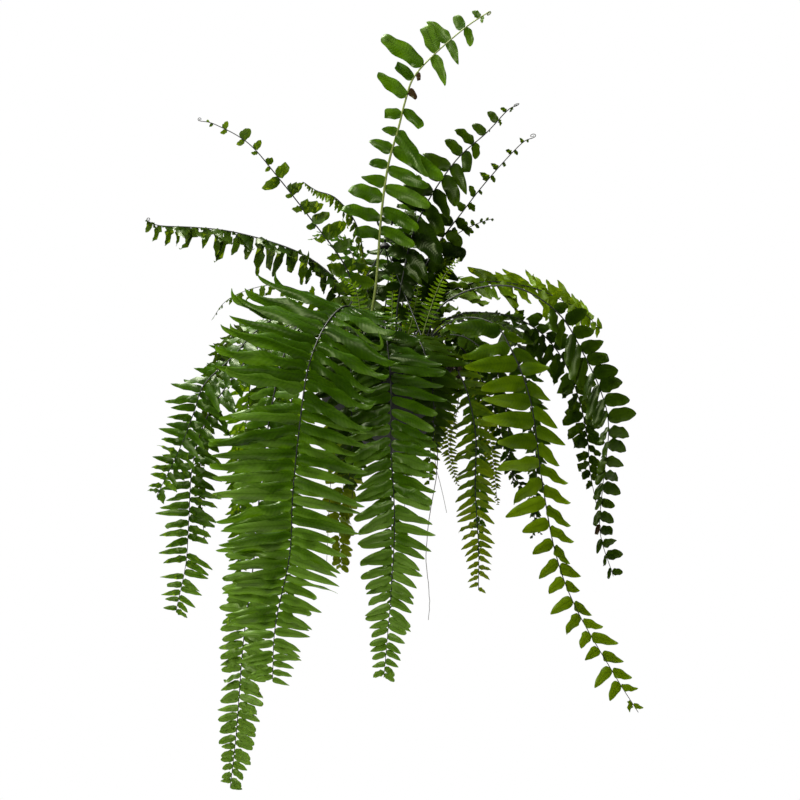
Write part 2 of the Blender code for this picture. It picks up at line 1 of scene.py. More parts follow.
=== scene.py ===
"""Looks of the hanging pot of sword fern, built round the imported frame.

Each frond is a tapering stalk along a smooth route, with leaflets that are modelled once for each
shape and copied along both sides.  Metres; the origin is the inside top of the hanger's hook.
"""

import math
import random

import bmesh
import bpy
import numpy as np
from mathutils import Matrix, Vector


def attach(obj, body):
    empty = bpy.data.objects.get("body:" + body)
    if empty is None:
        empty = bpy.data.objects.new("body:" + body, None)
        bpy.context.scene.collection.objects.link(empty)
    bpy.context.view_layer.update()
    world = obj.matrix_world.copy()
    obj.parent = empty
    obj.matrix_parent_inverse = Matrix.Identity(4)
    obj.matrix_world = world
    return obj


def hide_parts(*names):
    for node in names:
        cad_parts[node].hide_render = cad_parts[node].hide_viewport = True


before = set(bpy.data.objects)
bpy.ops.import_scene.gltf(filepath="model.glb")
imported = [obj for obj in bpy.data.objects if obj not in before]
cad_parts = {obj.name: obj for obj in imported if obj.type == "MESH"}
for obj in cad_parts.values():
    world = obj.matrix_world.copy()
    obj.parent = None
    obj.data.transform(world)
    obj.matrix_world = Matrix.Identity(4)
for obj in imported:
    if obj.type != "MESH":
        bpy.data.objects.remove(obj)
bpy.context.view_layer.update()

# Driving dimensions
RIM_Z = -0.230              # top of the pot's rim
RIM_RADIUS = 0.105
POT_HEIGHT = 0.125
POT_WALL = 0.0025
POT_BASE_RADIUS = 0.046
LIP_HEIGHT = 0.006
LIP_WIDTH = 0.004
SOIL_Z = RIM_Z - 0.018
CROWN_Z = RIM_Z - 0.006     # level where the stalks start
CROWN_RADIUS = 0.064
CROWN_SPREAD = 0.012        # how far the crown's foot spreads past its top
FLOOR_Z = -1.60

MILLIMETRE = 0.001


# ---------------------------------------------------------------- helpers

def deselect_all():
    bpy.ops.object.select_all(action="DESELECT")


def make_active(thing):
    deselect_all()
    thing.select_set(True)
    bpy.context.view_layer.objects.active = thing


def pick_vertices(mesh, chosen):
    """In edit mode, selects just the vertices whose index is in chosen."""
    shape = bmesh.from_edit_mesh(mesh)
    for vertex in shape.verts:
        vertex.select = vertex.index in chosen
    shape.select_flush_mode()
    bmesh.update_edit_mesh(mesh)


def apply_place(thing):
    """Puts the object's place, turn and size into its mesh."""
    make_active(thing)
    bpy.ops.object.transform_apply(location=True, rotation=True, scale=True)


def smooth_by_angle(thing, degrees):
    make_active(thing)
    bpy.ops.object.shade_smooth_by_angle(angle=math.radians(degrees))


def copy_to(source, matrix):
    """A copy of the source, with the matrix put into its mesh."""
    made = source.copy()
    made.data = source.data.copy()
    made.data.transform(matrix)
    bpy.context.collection.objects.link(made)
    return made


def join_all(parts, target):
    """Joins the parts to the target, which keeps its name."""
    deselect_all()
    for part in parts:
        part.select_set(True)
    target.select_set(True)
    bpy.context.view_layer.objects.active = target
    bpy.ops.object.join()


def on_circle(radius, azimuth, z):
    """The point at a distance from the upright axis, in the azimuth's direction, in degrees."""
    angle = math.radians(azimuth)
    return (radius * math.cos(angle), radius * math.sin(angle), z)


# ---------------------------------------------------------------- materials

def srgb(code):
    """Linear colour of an sRGB hex value."""
    values = [int(code[i:i + 2], 16) / 255 for i in (1, 3, 5)]
    linear = [v / 12.92 if v <= 0.04045 else ((v + 0.055) / 1.055) ** 2.4 for v in values]
    return (*linear, 1.0)


def add_node(tree, kind, inputs=None, **settings):
    """Adds a node; an input is a value, or a pair of another node and its output's name."""
    made = tree.nodes.new(kind)
    for key, value in settings.items():
        setattr(made, key, value)
    for key, value in (inputs or {}).items():
        if isinstance(value, tuple) and isinstance(value[0], bpy.types.Node):
            tree.links.new(value[0].outputs[value[1]], made.inputs[key])
        else:
            made.inputs[key].default_value = value
    return made


def new_material(name):
    """An empty material and its node tree."""
    made = bpy.data.materials.new(name)
    made.use_nodes = True
    made.node_tree.nodes.clear()
    return made, made.node_tree


def set_stops(ramp_node, stops):
    """Gives a colour ramp its (place, hex) stops."""
    ramp = ramp_node.color_ramp
    while len(ramp.elements) > 1:
        ramp.elements.remove(ramp.elements[-1])
    ramp.elements[0].position = stops[0][0]
    ramp.elements[0].color = srgb(stops[0][1])
    for place, code in stops[1:]:
        ramp.elements.new(place).color = srgb(code)


LEAF_PATCH = 35 * MILLIMETRE
VEINS_PER_LEAFLET = 22      # real veins are 1 mm apart; drawn coarser so that they show
VEIN_SLANT = 14.0           # how far the veins run on towards the tip as they leave the rib
LIGHT_THROUGH = 0.42        # share of a leaf's look that is light from behind it

# A leaf's tone runs from 0, its darkest green, to 0.84, its lightest, and on to dead brown
DRY_TONE = 1.1              # tone of a shrivelled leaflet
PATCH_TONE = 0.09           # what patches, the way out to the tip, margins and veins add to it
# The next value paints each leaflet paler out towards its tip: a painted sheen.
TIP_SHEEN_TONE = 0.10
MARGIN_TONE = 0.14
VEIN_TONE = 0.035
WITHERED = "#8a7a32"
SHRIVELLED = "#3f2a16"
WITHERED_GLOW = "#5c4a1c"


def leaf_look(name, dark, body, light, glow, roughness):
    """Living fern leaf: a waxy skin over a green that lets light through.

    The skin gives soft pale reflections; the thin flesh glows yellow-green when lit from behind;
    a tone on each leaflet, patches and paler margins keep neighbours from matching. Each leaflet
    is painted paler towards its tip as a painted sheen, and the frond's tone along its length
    paints light onto its lower parts.
    """
    made, tree = new_material(name)
    place = add_node(tree, "ShaderNodeTexCoord")
    parts = add_node(tree, "ShaderNodeSeparateXYZ", {"Vector": (place, "UV")})
    off_rib = add_node(tree, "ShaderNodeMath", {0: (parts, "Y"), 1: 0.5}, operation="SUBTRACT")
    across = add_node(tree, "ShaderNodeMath", {0: (off_rib, 0)}, operation="ABSOLUTE")
    rib = add_node(tree, "ShaderNodeMapRange", {
        "Value": (across, 0), "From Min": 0.01, "From Max": 0.06, "To Min": 0.45, "To Max": 0.0})
    along = add_node(tree, "ShaderNodeMath", {
        0: (parts, "X"), 1: VEINS_PER_LEAFLET * math.tau}, operation="MULTIPLY")
    slant = add_node(tree, "ShaderNodeMath", {
        0: (across, 0), 1: -VEIN_SLANT, 2: (along, 0)}, operation="MULTIPLY_ADD")
    veins = add_node(tree, "ShaderNodeMath", {0: (slant, 0)}, operation="SINE")

    tone = add_node(tree, "ShaderNodeAttribute", attribute_name="tone")
    patches = add_node(tree, "ShaderNodeTexNoise", {
        "Vector": (place, "Object"), "Scale": 1.0 / LEAF_PATCH, "Detail": 3.0})
    mottle = add_node(tree, "ShaderNodeMapRange", {
        "Value": (patches, "Fac"), "From Min": 0.3, "From Max": 0.7,
        "To Min": -PATCH_TONE, "To Max": PATCH_TONE})
    margin = add_node(tree, "ShaderNodeMath", {
        0: (across, 0), 1: MARGIN_TONE, 2: (mottle, 0)}, operation="MULTIPLY_ADD")
    # Painted sheen: each leaflet is painted paler out towards its tip.
    outwards = add_node(tree, "ShaderNodeMapRange", {
        "Value": (parts, "X"), "From Min": 0.1, "From Max": 0.9,
        "To Min": -TIP_SHEEN_TONE, "To Max": TIP_SHEEN_TONE})
    paler = add_node(tree, "ShaderNodeMath", {0: (margin, 0), 1: (outwards, 0)}, operation="ADD")
    toned = add_node(tree, "ShaderNodeMath", {0: (tone, "Fac"), 1: (paler, 0)}, operation="ADD")
    veined = add_node(tree, "ShaderNodeMath", {
        0: (veins, 0), 1: VEIN_TONE, 2: (toned, 0)}, operation="MULTIPLY_ADD")
    skin = add_node(tree, "ShaderNodeValToRGB", {"Fac": (veined, 0)})
    set_stops(skin, [
        (0.0, dark), (0.38, body), (0.84, light), (0.92, WITHERED), (1.0, SHRIVELLED)])
    ribbed = add_node(tree, "ShaderNodeMix", {
        "Factor": (rib, 0), "A": (skin, "Color"), "B": srgb(dark)}, data_type="RGBA")
    through = add_node(tree, "ShaderNodeValToRGB", {"Fac": (veined, 0)})
    set_stops(through, [(0.0, light), (0.45, glow), (0.84, glow), (0.94, WITHERED_GLOW)])

    height = add_node(tree, "ShaderNodeMath", {
        0: (veins, 0), 1: 0.25, 2: (rib, 0)}, operation="MULTIPLY_ADD")
    bump = add_node(tree, "ShaderNodeBump", {
        "Height": (height, 0), "Strength": 0.2, "Distance": 0.8 * MILLIMETRE})
    wax = add_node(tree, "ShaderNodeMapRange", {
        "Value": (patches, "Fac"), "From Min": 0.3, "From Max": 0.7,
        "To Min": roughness - 0.06, "To Max": roughness + 0.08})
    shader = add_node(tree, "ShaderNodeBsdfPrincipled", {
        "Base Color": (ribbed, 2), "Roughness": (wax, 0), "IOR": 1.40,
        "Specular Tint": srgb("#dcecb4"), "Normal": (bump, 0)})
    glowing = add_node(tree, "ShaderNodeBsdfTranslucent", {
        "Color": (through, "Color"), "Normal": (bump, 0)})
    mixed = add_node(tree, "ShaderNodeMixShader", {
        0: LIGHT_THROUGH, 1: (shader, 0), 2: (glowing, 0)})
    add_node(tree, "ShaderNodeOutputMaterial", {"Surface": (mixed, 0)})
    return made


def fibre_look(name, low, high, grain, roughness, bump_depth):
    """Matt natural stuff with a mottled grain: soil, roots, stalk and runner skin."""
    made, tree = new_material(name)
    place = add_node(tree, "ShaderNodeTexCoord")
    fine = add_node(tree, "ShaderNodeTexNoise", {
        "Vector": (place, "Object"), "Scale": 1.0 / grain, "Detail": 6.0, "Roughness": 0.65})
    skin = add_node(tree, "ShaderNodeValToRGB", {"Fac": (fine, "Fac")})
    set_stops(skin, [(0.32, low), (0.68, high)])
    bump = add_node(tree, "ShaderNodeBump", {
        "Height": (fine, "Fac"), "Strength": 0.6, "Distance": bump_depth})
    shader = add_node(tree, "ShaderNodeBsdfPrincipled", {
        "Base Color": (skin, "Color"), "Roughness": roughness, "Normal": (bump, 0)})
    add_node(tree, "ShaderNodeOutputMaterial", {"Surface": (shader, 0)})
    return made


def moulded_plastic(name, colour, dusty):
    """Injection-moulded polypropylene: fine matt grain, paler where dust and scuffs gather."""
    made, tree = new_material(name)
    place = add_node(tree, "ShaderNodeTexCoord")
    grain = add_node(tree, "ShaderNodeTexNoise", {
        "Vector": (place, "Object"), "Scale": 1.0 / (1.5 * MILLIMETRE), "Detail": 2.0})
    scuffs = add_node(tree, "ShaderNodeTexNoise", {
        "Vector": (place, "Object"), "Scale": 1.0 / (30 * MILLIMETRE), "Detail": 7.0,
        "Roughness": 0.7})
    skin = add_node(tree, "ShaderNodeValToRGB", {"Fac": (scuffs, "Fac")})
    set_stops(skin, [(0.45, colour), (0.75, dusty)])
    wear = add_node(tree, "ShaderNodeMapRange", {
        "Value": (scuffs, "Fac"), "From Min": 0.4, "From Max": 0.7, "To Min": 0.62, "To Max": 0.8})
    bump = add_node(tree, "ShaderNodeBump", {
        "Height": (grain, "Fac"), "Strength": 0.25, "Distance": 0.2 * MILLIMETRE})
    shader = add_node(tree, "ShaderNodeBsdfPrincipled", {
        "Base Color": (skin, "Color"), "Roughness": (wear, 0), "IOR": 1.49, "Normal": (bump, 0)})
    add_node(tree, "ShaderNodeOutputMaterial", {"Surface": (shader, 0)})
    return made


def coated_wire(name):
    """Galvanised steel wire in dark green plastic: smooth, with a soft streak of light."""
    made, tree = new_material(name)
    place = add_node(tree, "ShaderNodeTexCoord")
    ripple = add_node(tree, "ShaderNodeTexNoise", {
        "Vector": (place, "Object"), "Scale": 1.0 / (6 * MILLIMETRE), "Detail": 3.0})
    skin = add_node(tree, "ShaderNodeValToRGB", {"Fac": (ripple, "Fac")})
    set_stops(skin, [(0.3, "#141a14"), (0.7, "#252d22")])
    bump = add_node(tree, "ShaderNodeBump", {
        "Height": (ripple, "Fac"), "Strength": 0.15, "Distance": 0.2 * MILLIMETRE})
    shader = add_node(tree, "ShaderNodeBsdfPrincipled", {
        "Base Color": (skin, "Color"), "Roughness": 0.34, "IOR": 1.5, "Normal": (bump, 0)})
    add_node(tree, "ShaderNodeOutputMaterial", {"Surface": (shader, 0)})
    return made


LEAF_LOOKS = {
    # The fresh leaf's lightest green is partly its own colour and partly greyed as a painted sheen
    # for the lower leaflets.
    "leaf_fresh": leaf_look("fern_leaf_fresh", "#142801", "#305002", "#719238", "#a4c40a", 0.34),
    "leaf_dark": leaf_look("fern_leaf_dark", "#0e1c01", "#203602", "#425a08", "#849c0c", 0.32),
    "leaf_light": leaf_look("fern_leaf_light", "#1e3602", "#425e02", "#74900a", "#b8cc10", 0.36),
    "leaf_young": leaf_look("fern_leaf_young", "#2c4c04", "#547c0a", "#86a818", "#c4dc34", 0.42),
    "leaf_olive": leaf_look("fern_leaf_olive", "#1c3202", "#425c04", "#84920e", "#bccc1c", 0.38),
}
STALK_LOOKS = {
    "dark": fibre_look("frond_stalk_dark", "#060a01", "#121a04", 5 * MILLIMETRE, 0.62,
                       0.2 * MILLIMETRE),
    "pale": fibre_look("frond_stalk_pale", "#5c6c2c", "#8c9850", 5 * MILLIMETRE, 0.45,
                       0.2 * MILLIMETRE),
    "brown": fibre_look("frond_stalk_brown", "#2c1c10", "#5a4426", 4 * MILLIMETRE, 0.6,
                        0.3 * MILLIMETRE),
}
SOIL_LOOK = fibre_look("peat_soil", "#120c07", "#3a2818", 2.5 * MILLIMETRE, 0.95,
                       1.2 * MILLIMETRE)
GRIT_LOOK = fibre_look("perlite_grit", "#b8b2a4", "#e6e2d8", 1.5 * MILLIMETRE, 0.85,
                       0.3 * MILLIMETRE)
ROOT_LOOK = fibre_look("root_fibre", "#150e08", "#4a3420", 3 * MILLIMETRE, 0.88,
                       0.8 * MILLIMETRE)
RUNNER_LOOK = fibre_look("runner_skin", "#1d150c", "#4c3c22", 4 * MILLIMETRE, 0.7,
                         0.3 * MILLIMETRE)
POT_LOOK = moulded_plastic("moulded_polypropylene", "#090b08", "#131410")
WIRE_LOOK = coated_wire("coated_steel_wire")


# ---------------------------------------------------------------- camera, light, floor

CAMERA_PLACE = (0.0225, -2.6, -0.2775)
CAMERA_LENS = 78.0          # this and the sensor's width are in millimetres
CAMERA_SENSOR = 36.0
LIGHTS = (
    # name, place, size, power, colour
    ("key_above", (-1.3, 0.5, 2.0), 1.3, 205.0, (1.0, 0.985, 0.93)),
    ("fill_front", (-0.9, -2.2, 1.2), 1.0, 74.0, (1.0, 0.99, 0.93)),
)
LIGHTS_AIM = (0.0, 0.0, -0.3)
SURROUND_LIGHT = 0.05       # strength of the light from all round
FLOOR_RADIUS = 3.0


def add_camera():
    bpy.ops.object.camera_add(location=CAMERA_PLACE, rotation=(math.radians(90), 0.0, 0.0))
    camera = bpy.context.object
    camera.data.lens = CAMERA_LENS
    camera.data.sensor_width = CAMERA_SENSOR
    bpy.context.scene.camera = camera


def add_area_light(name, place, size, power, colour):
    bpy.ops.object.light_add(type="AREA", location=place)
    light = bpy.context.object
    light.name = name
    light.data.shape = "DISK"
    light.data.size = size
    light.data.energy = power
    light.data.color = colour
    towards = Vector(LIGHTS_AIM) - Vector(place)
    light.rotation_euler = towards.to_track_quat("-Z", "Y").to_euler()


def light_studio():
    """Warm light from above left and a little behind, a weaker fill in front, a white surround."""
    for name, place, size, power, colour in LIGHTS:
        add_area_light(name, place, size, power, colour)
    world = bpy.data.worlds.new("studio_surround")
    bpy.context.scene.world = world
    world.use_nodes = True
    tree = world.node_tree
    tree.nodes.clear()
    path = add_node(tree, "ShaderNodeLightPath")
    soft = add_node(tree, "ShaderNodeBackground", {
        "Color": (0.97, 0.99, 1.0, 1.0), "Strength": SURROUND_LIGHT})
    seen = add_node(tree, "ShaderNodeBackground", {"Color": (1.0, 1.0, 1.0, 1.0), "Strength": 1.0})
    mixed = add_node(tree, "ShaderNodeMixShader", {
        0: (path, "Is Camera Ray"), 1: (soft, 0), 2: (seen, 0)})
    add_node(tree, "ShaderNodeOutputWorld", {"Surface": (mixed, 0)})
    bpy.context.scene.view_settings.view_transform = "Standard"


def add_floor():
    bpy.ops.mesh.primitive_circle_add(
        vertices=96, radius=FLOOR_RADIUS, fill_type="NGON", location=(0.0, 0.0, FLOOR_Z))
    floor = bpy.context.object
    floor.name = "studio_floor"
    apply_place(floor)
    made, tree = new_material("pale_paper_floor")
    shader = add_node(tree, "ShaderNodeBsdfPrincipled", {
        "Base Color": srgb("#f6f6f4"), "Roughness": 0.9})
    add_node(tree, "ShaderNodeOutputMaterial", {"Surface": (shader, 0)})
    floor.data.materials.append(made)


# ---------------------------------------------------------------- leaflet shapes

# Each leaflet is modelled at unit length and width, base at the origin, tip along +X, upper
# face up.  A matrix then gives each copy its size and place.
ROW_PLACES = (0.0, 0.05, 0.14, 0.27, 0.42, 0.57, 0.72, 0.85, 0.95, 1.0)
LEAFLET_OUTLINES = {        # width at each row, as a share of the widest
    "sword": (0.30, 0.84, 1.00, 0.98, 0.90, 0.78, 0.61, 0.40, 0.18, 0.02),
    "blunt": (0.18, 0.62, 0.86, 1.00, 1.00, 0.97, 0.90, 0.74, 0.44, 0.08),
    "slim": (0.20, 0.74, 1.00, 0.96, 0.86, 0.72, 0.54, 0.33, 0.14, 0.03),
    "round": (0.14, 0.60, 0.88, 1.00, 1.00, 0.98, 0.90, 0.74, 0.46, 0.12),
}
LEAFLET_TEMPERS = {         # sickle, arch, margin wave, twist in degrees, curl of the tip
    "calm": (0.22, 0.10, 0.21, 12, 20),
    "wavy": (0.42, 0.15, 0.40, 24, 38),
    "twisted": (0.15, 0.12, 0.36, 66, 24),
    "curled": (0.50, 0.22, 0.30, -40, 88),
}
LEAFLET_WALL = 0.006        # thickness, as a share of the length
WIDTH_SHARE = 0.25          # width of the unit leaflet, as a share of its length
BACK_RISE = 0.04            # how far the blade's middle rises over its two ends
KEEL = 0.17                 # how far the margins drop under the rib, as a share of the width
CURL_START = 0.6            # place where the tip starts to curl, and the place it curls about
CURL_PIVOT = 0.62
RIPPLE = 0.35               # how much the width ripples, and how fast from row to row
RIPPLE_TURN = 2.4
RIPPLE_START = 0.6
WAVE_TURN = 2.1             # how fast the margins wave from row to row
WAVE_SHIFT = 1.3            # how far the two margins' waves are out of step
GRID_EDGE = 0.45            # past this, the flat grid's vertices are its margins


def shape_leaflet(name, outline, sickle, arch, wave, twist, curl, lanes):
    """Bends a flat grid into a leaflet row by row, then gives it its thickness."""
    last_row = len(ROW_PLACES) - 1
    bpy.ops.mesh.primitive_grid_add(
        x_subdivisions=last_row, y_subdivisions=lanes, size=1.0, location=(0.5, 0.0, 0.0))
    blade = bpy.context.object
    blade.name = name
    apply_place(blade)
    mesh = blade.data
    rows = [[] for _ in ROW_PLACES]
    margins = {}
    for vertex in mesh.vertices:
        rows[round(vertex.co.x * last_row)].append(vertex.index)
        if abs(vertex.co.y) > GRID_EDGE:
            margins[vertex.index] = math.copysign(1.0, vertex.co.y)

    bpy.ops.object.mode_set(mode="EDIT")
    for number, (place, width) in enumerate(zip(ROW_PLACES, outline)):
        start = number / last_row
        pick_vertices(mesh, set(rows[number]))
        pivot = (start, 0.0, 0.0)
        ripple = 1.0 + wave * RIPPLE * math.sin(RIPPLE_TURN * number + RIPPLE_START)
        bpy.ops.transform.resize(
            value=(1.0, WIDTH_SHARE * width * ripple, 1.0), center_override=pivot)
        bpy.ops.transform.rotate(
            value=math.radians(twist * place), orient_axis="X", center_override=pivot)
        if place > CURL_START:
            turn = curl * (place - CURL_START) / (1.0 - CURL_START)
            bpy.ops.transform.rotate(
                value=math.radians(turn), orient_axis="Y",
                center_override=(CURL_PIVOT, 0.0, 0.0))
        bend = sickle * WIDTH_SHARE * place ** 2
        drop = -arch * place ** 2 + BACK_RISE * math.sin(math.pi * place)
        bpy.ops.transform.translate(value=(place - start, bend, drop))
        for side in (-1.0, 1.0):
            edge = {i for i in rows[number] if margins.get(i) == side}
            pick_vertices(mesh, edge)
            lift = wave * WIDTH_SHARE * width * math.sin(WAVE_TURN * number + WAVE_SHIFT * side)
            keel = -KEEL * WIDTH_SHARE * width
            bpy.ops.transform.translate(value=(0.0, 0.0, lift + keel))
    bpy.ops.object.mode_set(mode="OBJECT")

    make_active(blade)
    if lanes > 2:
        rounding = blade.modifiers.new("rounding", "SUBSURF")
        rounding.levels = 1
        bpy.ops.object.modifier_apply(modifier=rounding.name)
    wall = blade.modifiers.new("wall", "SOLIDIFY")
    wall.thickness = LEAFLET_WALL
    wall.offset = 0.0
    bpy.ops.object.modifier_apply(modifier=wall.name)
    smooth_by_angle(blade, 55)
    return blade


def mirrored_leaflet(blade, name):
    """The other hand of a leaflet, with its faces turned outwards again."""
    other = blade.copy()
    other.data = blade.data.copy()
    other.name = name
    bpy.context.collection.objects.link(other)
    make_active(other)
    bpy.ops.object.mode_set(mode="EDIT")
    bpy.ops.mesh.select_all(action="SELECT")
    bpy.ops.transform.resize(value=(1.0, -1.0, 1.0), center_override=(0.0, 0.0, 0.0))
    bpy.ops.mesh.normals_make_consistent(inside=False)
    bpy.ops.object.mode_set(mode="OBJECT")
    return other


def make_leaflet_kit():
    """Every outline in every temper, for the left (+Y to the frond's tip) and the right side."""
    kit = {}
    for outline_name, outline in LEAFLET_OUTLINES.items():
        for temper_name, temper in LEAFLET_TEMPERS.items():
            for size, lanes in (("small", 2), ("large", 4)):
                key = (outline_name, temper_name, size)
                name = f"leaflet_{outline_name}_{temper_name}_{size}"
                left = shape_leaflet(name, outline, *temper, lanes)
                right = mirrored_leaflet(left, name + "_right")
                kit[key] = (left, right)
    return kit


# ---------------------------------------------------------------- routes

def smooth_route(points, spans_per_gap=10):
    """A Catmull-Rom curve through the points."""
    p = np.array(points, dtype=float)
    p = np.vstack([2 * p[0] - p[1], p, 2 * p[-1] - p[-2]])
    out = []
    for a, b, c, d in zip(p[:-3], p[1:-2], p[2:-1], p[3:]):
        for t in np.arange(spans_per_gap) / spans_per_gap:
            out.append(0.5 * (2 * b + (c - a) * t + (2 * a - 5 * b + 4 * c - d) * t ** 2
                              + (3 * b - a - 3 * c + d) * t ** 3))
    out.append(p[-2])
    return np.array(out)


def route_lengths(route):
    steps = np.linalg.norm(np.diff(route, axis=0), axis=1)
    return np.concatenate([[0.0], np.cumsum(steps)])


def place_at(route, lengths, distance):
    return Vector([float(np.interp(distance, lengths, route[:, k])) for k in range(3)])


def tangent_at(route, lengths, distance, reach=0.006):
    ahead = place_at(route, lengths, min(distance + reach, lengths[-1]))
    behind = place_at(route, lengths, max(distance - reach, 0.0))
    return (ahead - behind).normalized()


def side_vector(tangent, facing, tilt=0.0):
    """Direction across a blade whose upper face looks towards the facing azimuth.

    It is level where tilt is 0; tilt turns the blade about its own stalk, in degrees.
    """
    angle = math.radians(facing)
    level = Vector((-math.sin(angle), math.cos(angle), 0.0))
    across = (level - level.dot(tangent) * tangent).normalized()
    return Matrix.Rotation(math.radians(tilt), 3, tangent) @ across


def add_crozier(route, facing, radius, turns=1.2):
    """Rolls the route's end up into a fiddlehead towards its upper face."""
    tip = Vector(route[-1])
    tangent = (Vector(route[-1]) - Vector(route[-3])).normalized()
    upward = tangent.cross(side_vector(tangent, facing)).normalized()
    steps = 16
    added = []
    heading = 0.0
    spot = tip.copy()
    for step in range(steps):
        shrink = 1.0 - 0.7 * step / steps
        turn = turns * math.tau / steps
        heading += turn
        direction = tangent * math.cos(heading) + upward * math.sin(heading)
        spot = spot + direction * radius * shrink * turn
        added.append(tuple(spot))
    return np.vstack([route, np.array(added)])


def stalk_tube(name, route, base_radius, tip_radius, look, resolution=1):
    """A tapering round stalk along the route, as a closed mesh."""
    bpy.ops.curve.primitive_bezier_curve_add()
    stalk = bpy.context.object
    stalk.name = name
    curve = stalk.data
    curve.dimensions = "3D"
    curve.splines.clear()
    spline = curve.splines.new("POLY")
    spline.points.add(len(route) - 1)
    for number, (spot, place) in enumerate(zip(spline.points, route)):
        share = number / (len(route) - 1)
        spot.co = (*place, 1.0)
        spot.radius = 1.0 + (tip_radius / base_radius - 1.0) * share
    curve.bevel_depth = base_radius
    curve.bevel_resolution = resolution
    curve.use_fill_caps = True
    stalk.location = (0.0, 0.0, 0.0)
    make_active(stalk)
    bpy.ops.object.convert(target="MESH")
    stalk = bpy.context.object
    stalk.data.materials.clear()
    stalk.data.materials.append(look)
    bpy.ops.object.mode_set(mode="EDIT")
    bpy.ops.mesh.select_all(action="SELECT")
    bpy.ops.mesh.remove_doubles(threshold=0.00001)
    bpy.ops.mesh.normals_make_consistent(inside=False)
    bpy.ops.object.mode_set(mode="OBJECT")
    bpy.ops.object.shade_smooth()
    return stalk


# ---------------------------------------------------------------- fronds

def leaflet_share(u, fullness, least):
    """Leaflet length along the blade, as a share of the longest: quick rise, then a taper."""
    return min(1.0, 0.5 + 3.0 * u) * (1.0 - (1.0 - least) * u ** fullness)


HABIT = {                   # a frond's habit where its call doesn't say otherwise
    "outline": ("sword",),  # outlines to choose from
    "widest": 0.016,        # width of the longest leaflet
    "spacing": 0.020,
    "tighten": 0.35,        # how much closer the leaflets stand at the tip
    "bare": 0.25,           # share of the stalk without leaflets
    "fullness": 1.6,        # how far along the blade the leaflets keep their length
    "least": 0.12,          # share of the longest that is left at the tip
    "breadth": (1.0, 1.0),  # how broad the leaflets are for their length, left and right
    "shares": None,         # or each leaflet's share of the longest, left and right
    "lean": (10, 10),       # degrees towards the frond's tip, left and right
    "lean_base": (0, 0),    # what is added to that at the blade's start
    "droop": (0.12, 0.12),  # how steeply the leaflets hang, left and right
    "sides": (1.0, 1.0),    # length of the left and the right leaflets
    "roll": (0, 0),         # degrees that each side's leaflets turn their faces up
    "tilt": (0, 0),         # degrees that the blade turns about its stalk, start and tip
    "wild": 1.0,            # how unlike each other the leaflets are
    "tempers": (6, 4, 0.5, 0.5),    # chances of calm, wavy, twisted and curled
    "hooked": False,        # leaflets curve to the frond's base instead of its tip
    "stalk": "dark",
    "thick": 0.0016,        # radius of the stalk's foot
    # A tone that rises from start to tip is painted light: the lower, hanging parts are painted
    # lighter as if lit from the front.
    "tone": (0.45, 0.35),   # tone at the blade's start and tip
    "crozier": 0.0,         # radius of the rolled tip, if any
    "dry": 0.0,             # chance that a leaflet is shrivelled
    "large": False,         # whether its long leaflets use the finer shapes
    "gaps": 0.03,           # chance that a leaflet is missing
}
LONG_LEAFLET = 0.020        # from this length up, a leaflet is a long one
BROADEST = 0.62             # greatest width of a leaflet, as a share of its length
WIDTH_POWER = 0.45          # the width falls off more slowly than the length towards the tip
TONE_LIMITS = (0.04, 0.64)  # of living leaflets
STAGGER = 0.35              # how far the right side's leaflets stand after the left's, in gaps
LISTED_STAGGER = 0.3        # the same where the shares are listed, and the first one's place
STATION_SPREAD = 0.12       # how far each stands from its proper place, in gaps

BASE_FADE = 2.2             # how fast lean_base fades along the blade
ROLL_RISE = 2.0             # how fast roll grows to its full value along the blade

# How much the leaflets differ, before it is multiplied by the frond's wildness
SHORTEN = 0.10
LENGTHEN = 0.06
LEAN_SPREAD = 4.0           # degrees
LIFT_SPREAD = 0.08
ROLL_SPREAD = 7.0           # degrees

# The same on every frond
WIDTH_SPREAD = (0.90, 1.06)
DROOP_SPREAD = (0.6, 1.4)
TONE_SPREAD = 0.06


def leaflet_stations(h, blade, chance):
    """Where the leaflets stand: (side, distance from the blade's start, share of the longest)."""
    stations = []
    if h["shares"]:
        for side, shares in enumerate(h["shares"]):
            gap = blade / len(shares)
            for number, share in enumerate(shares):
                shift = chance.uniform(-STATION_SPREAD, STATION_SPREAD) + LISTED_STAGGER * side
                where = gap * (number + shift + LISTED_STAGGER)
                stations.append((side, min(blade, where), share))
        return stations
    distance = 0.0
    while distance < blade:
        u = distance / blade
        for side in (0, 1):
            shift = STAGGER * side + chance.uniform(-STATION_SPREAD, STATION_SPREAD)
            where = distance + h["spacing"] * shift
            share = leaflet_share(u, h["fullness"], h["least"]) * h["sides"][side]
            if chance.random() >= h["gaps"]:
                stations.append((side, min(max(where, 0.0), blade), share))
        distance += h["spacing"] * (1.0 - h["tighten"] * u)
    return stations


def leaflet_matrix(place, heading, upper, length, width, roll):
    """Places the unit leaflet: base at place, tip along heading, upper face towards upper."""
    x = heading.normalized()
    z = (upper - upper.dot(x) * x).normalized()
    z = Matrix.Rotation(math.radians(roll), 3, x) @ z
    y = z.cross(x)
    stretch = width / WIDTH_SHARE
    columns = (x * length, y * stretch, z * length)
    turned = Matrix([[c[i] for c in columns] for i in range(3)]).to_4x4()
    return Matrix.Translation(place) @ turned


def blend(pair, u):
    return pair[0] + (pair[1] - pair[0]) * u


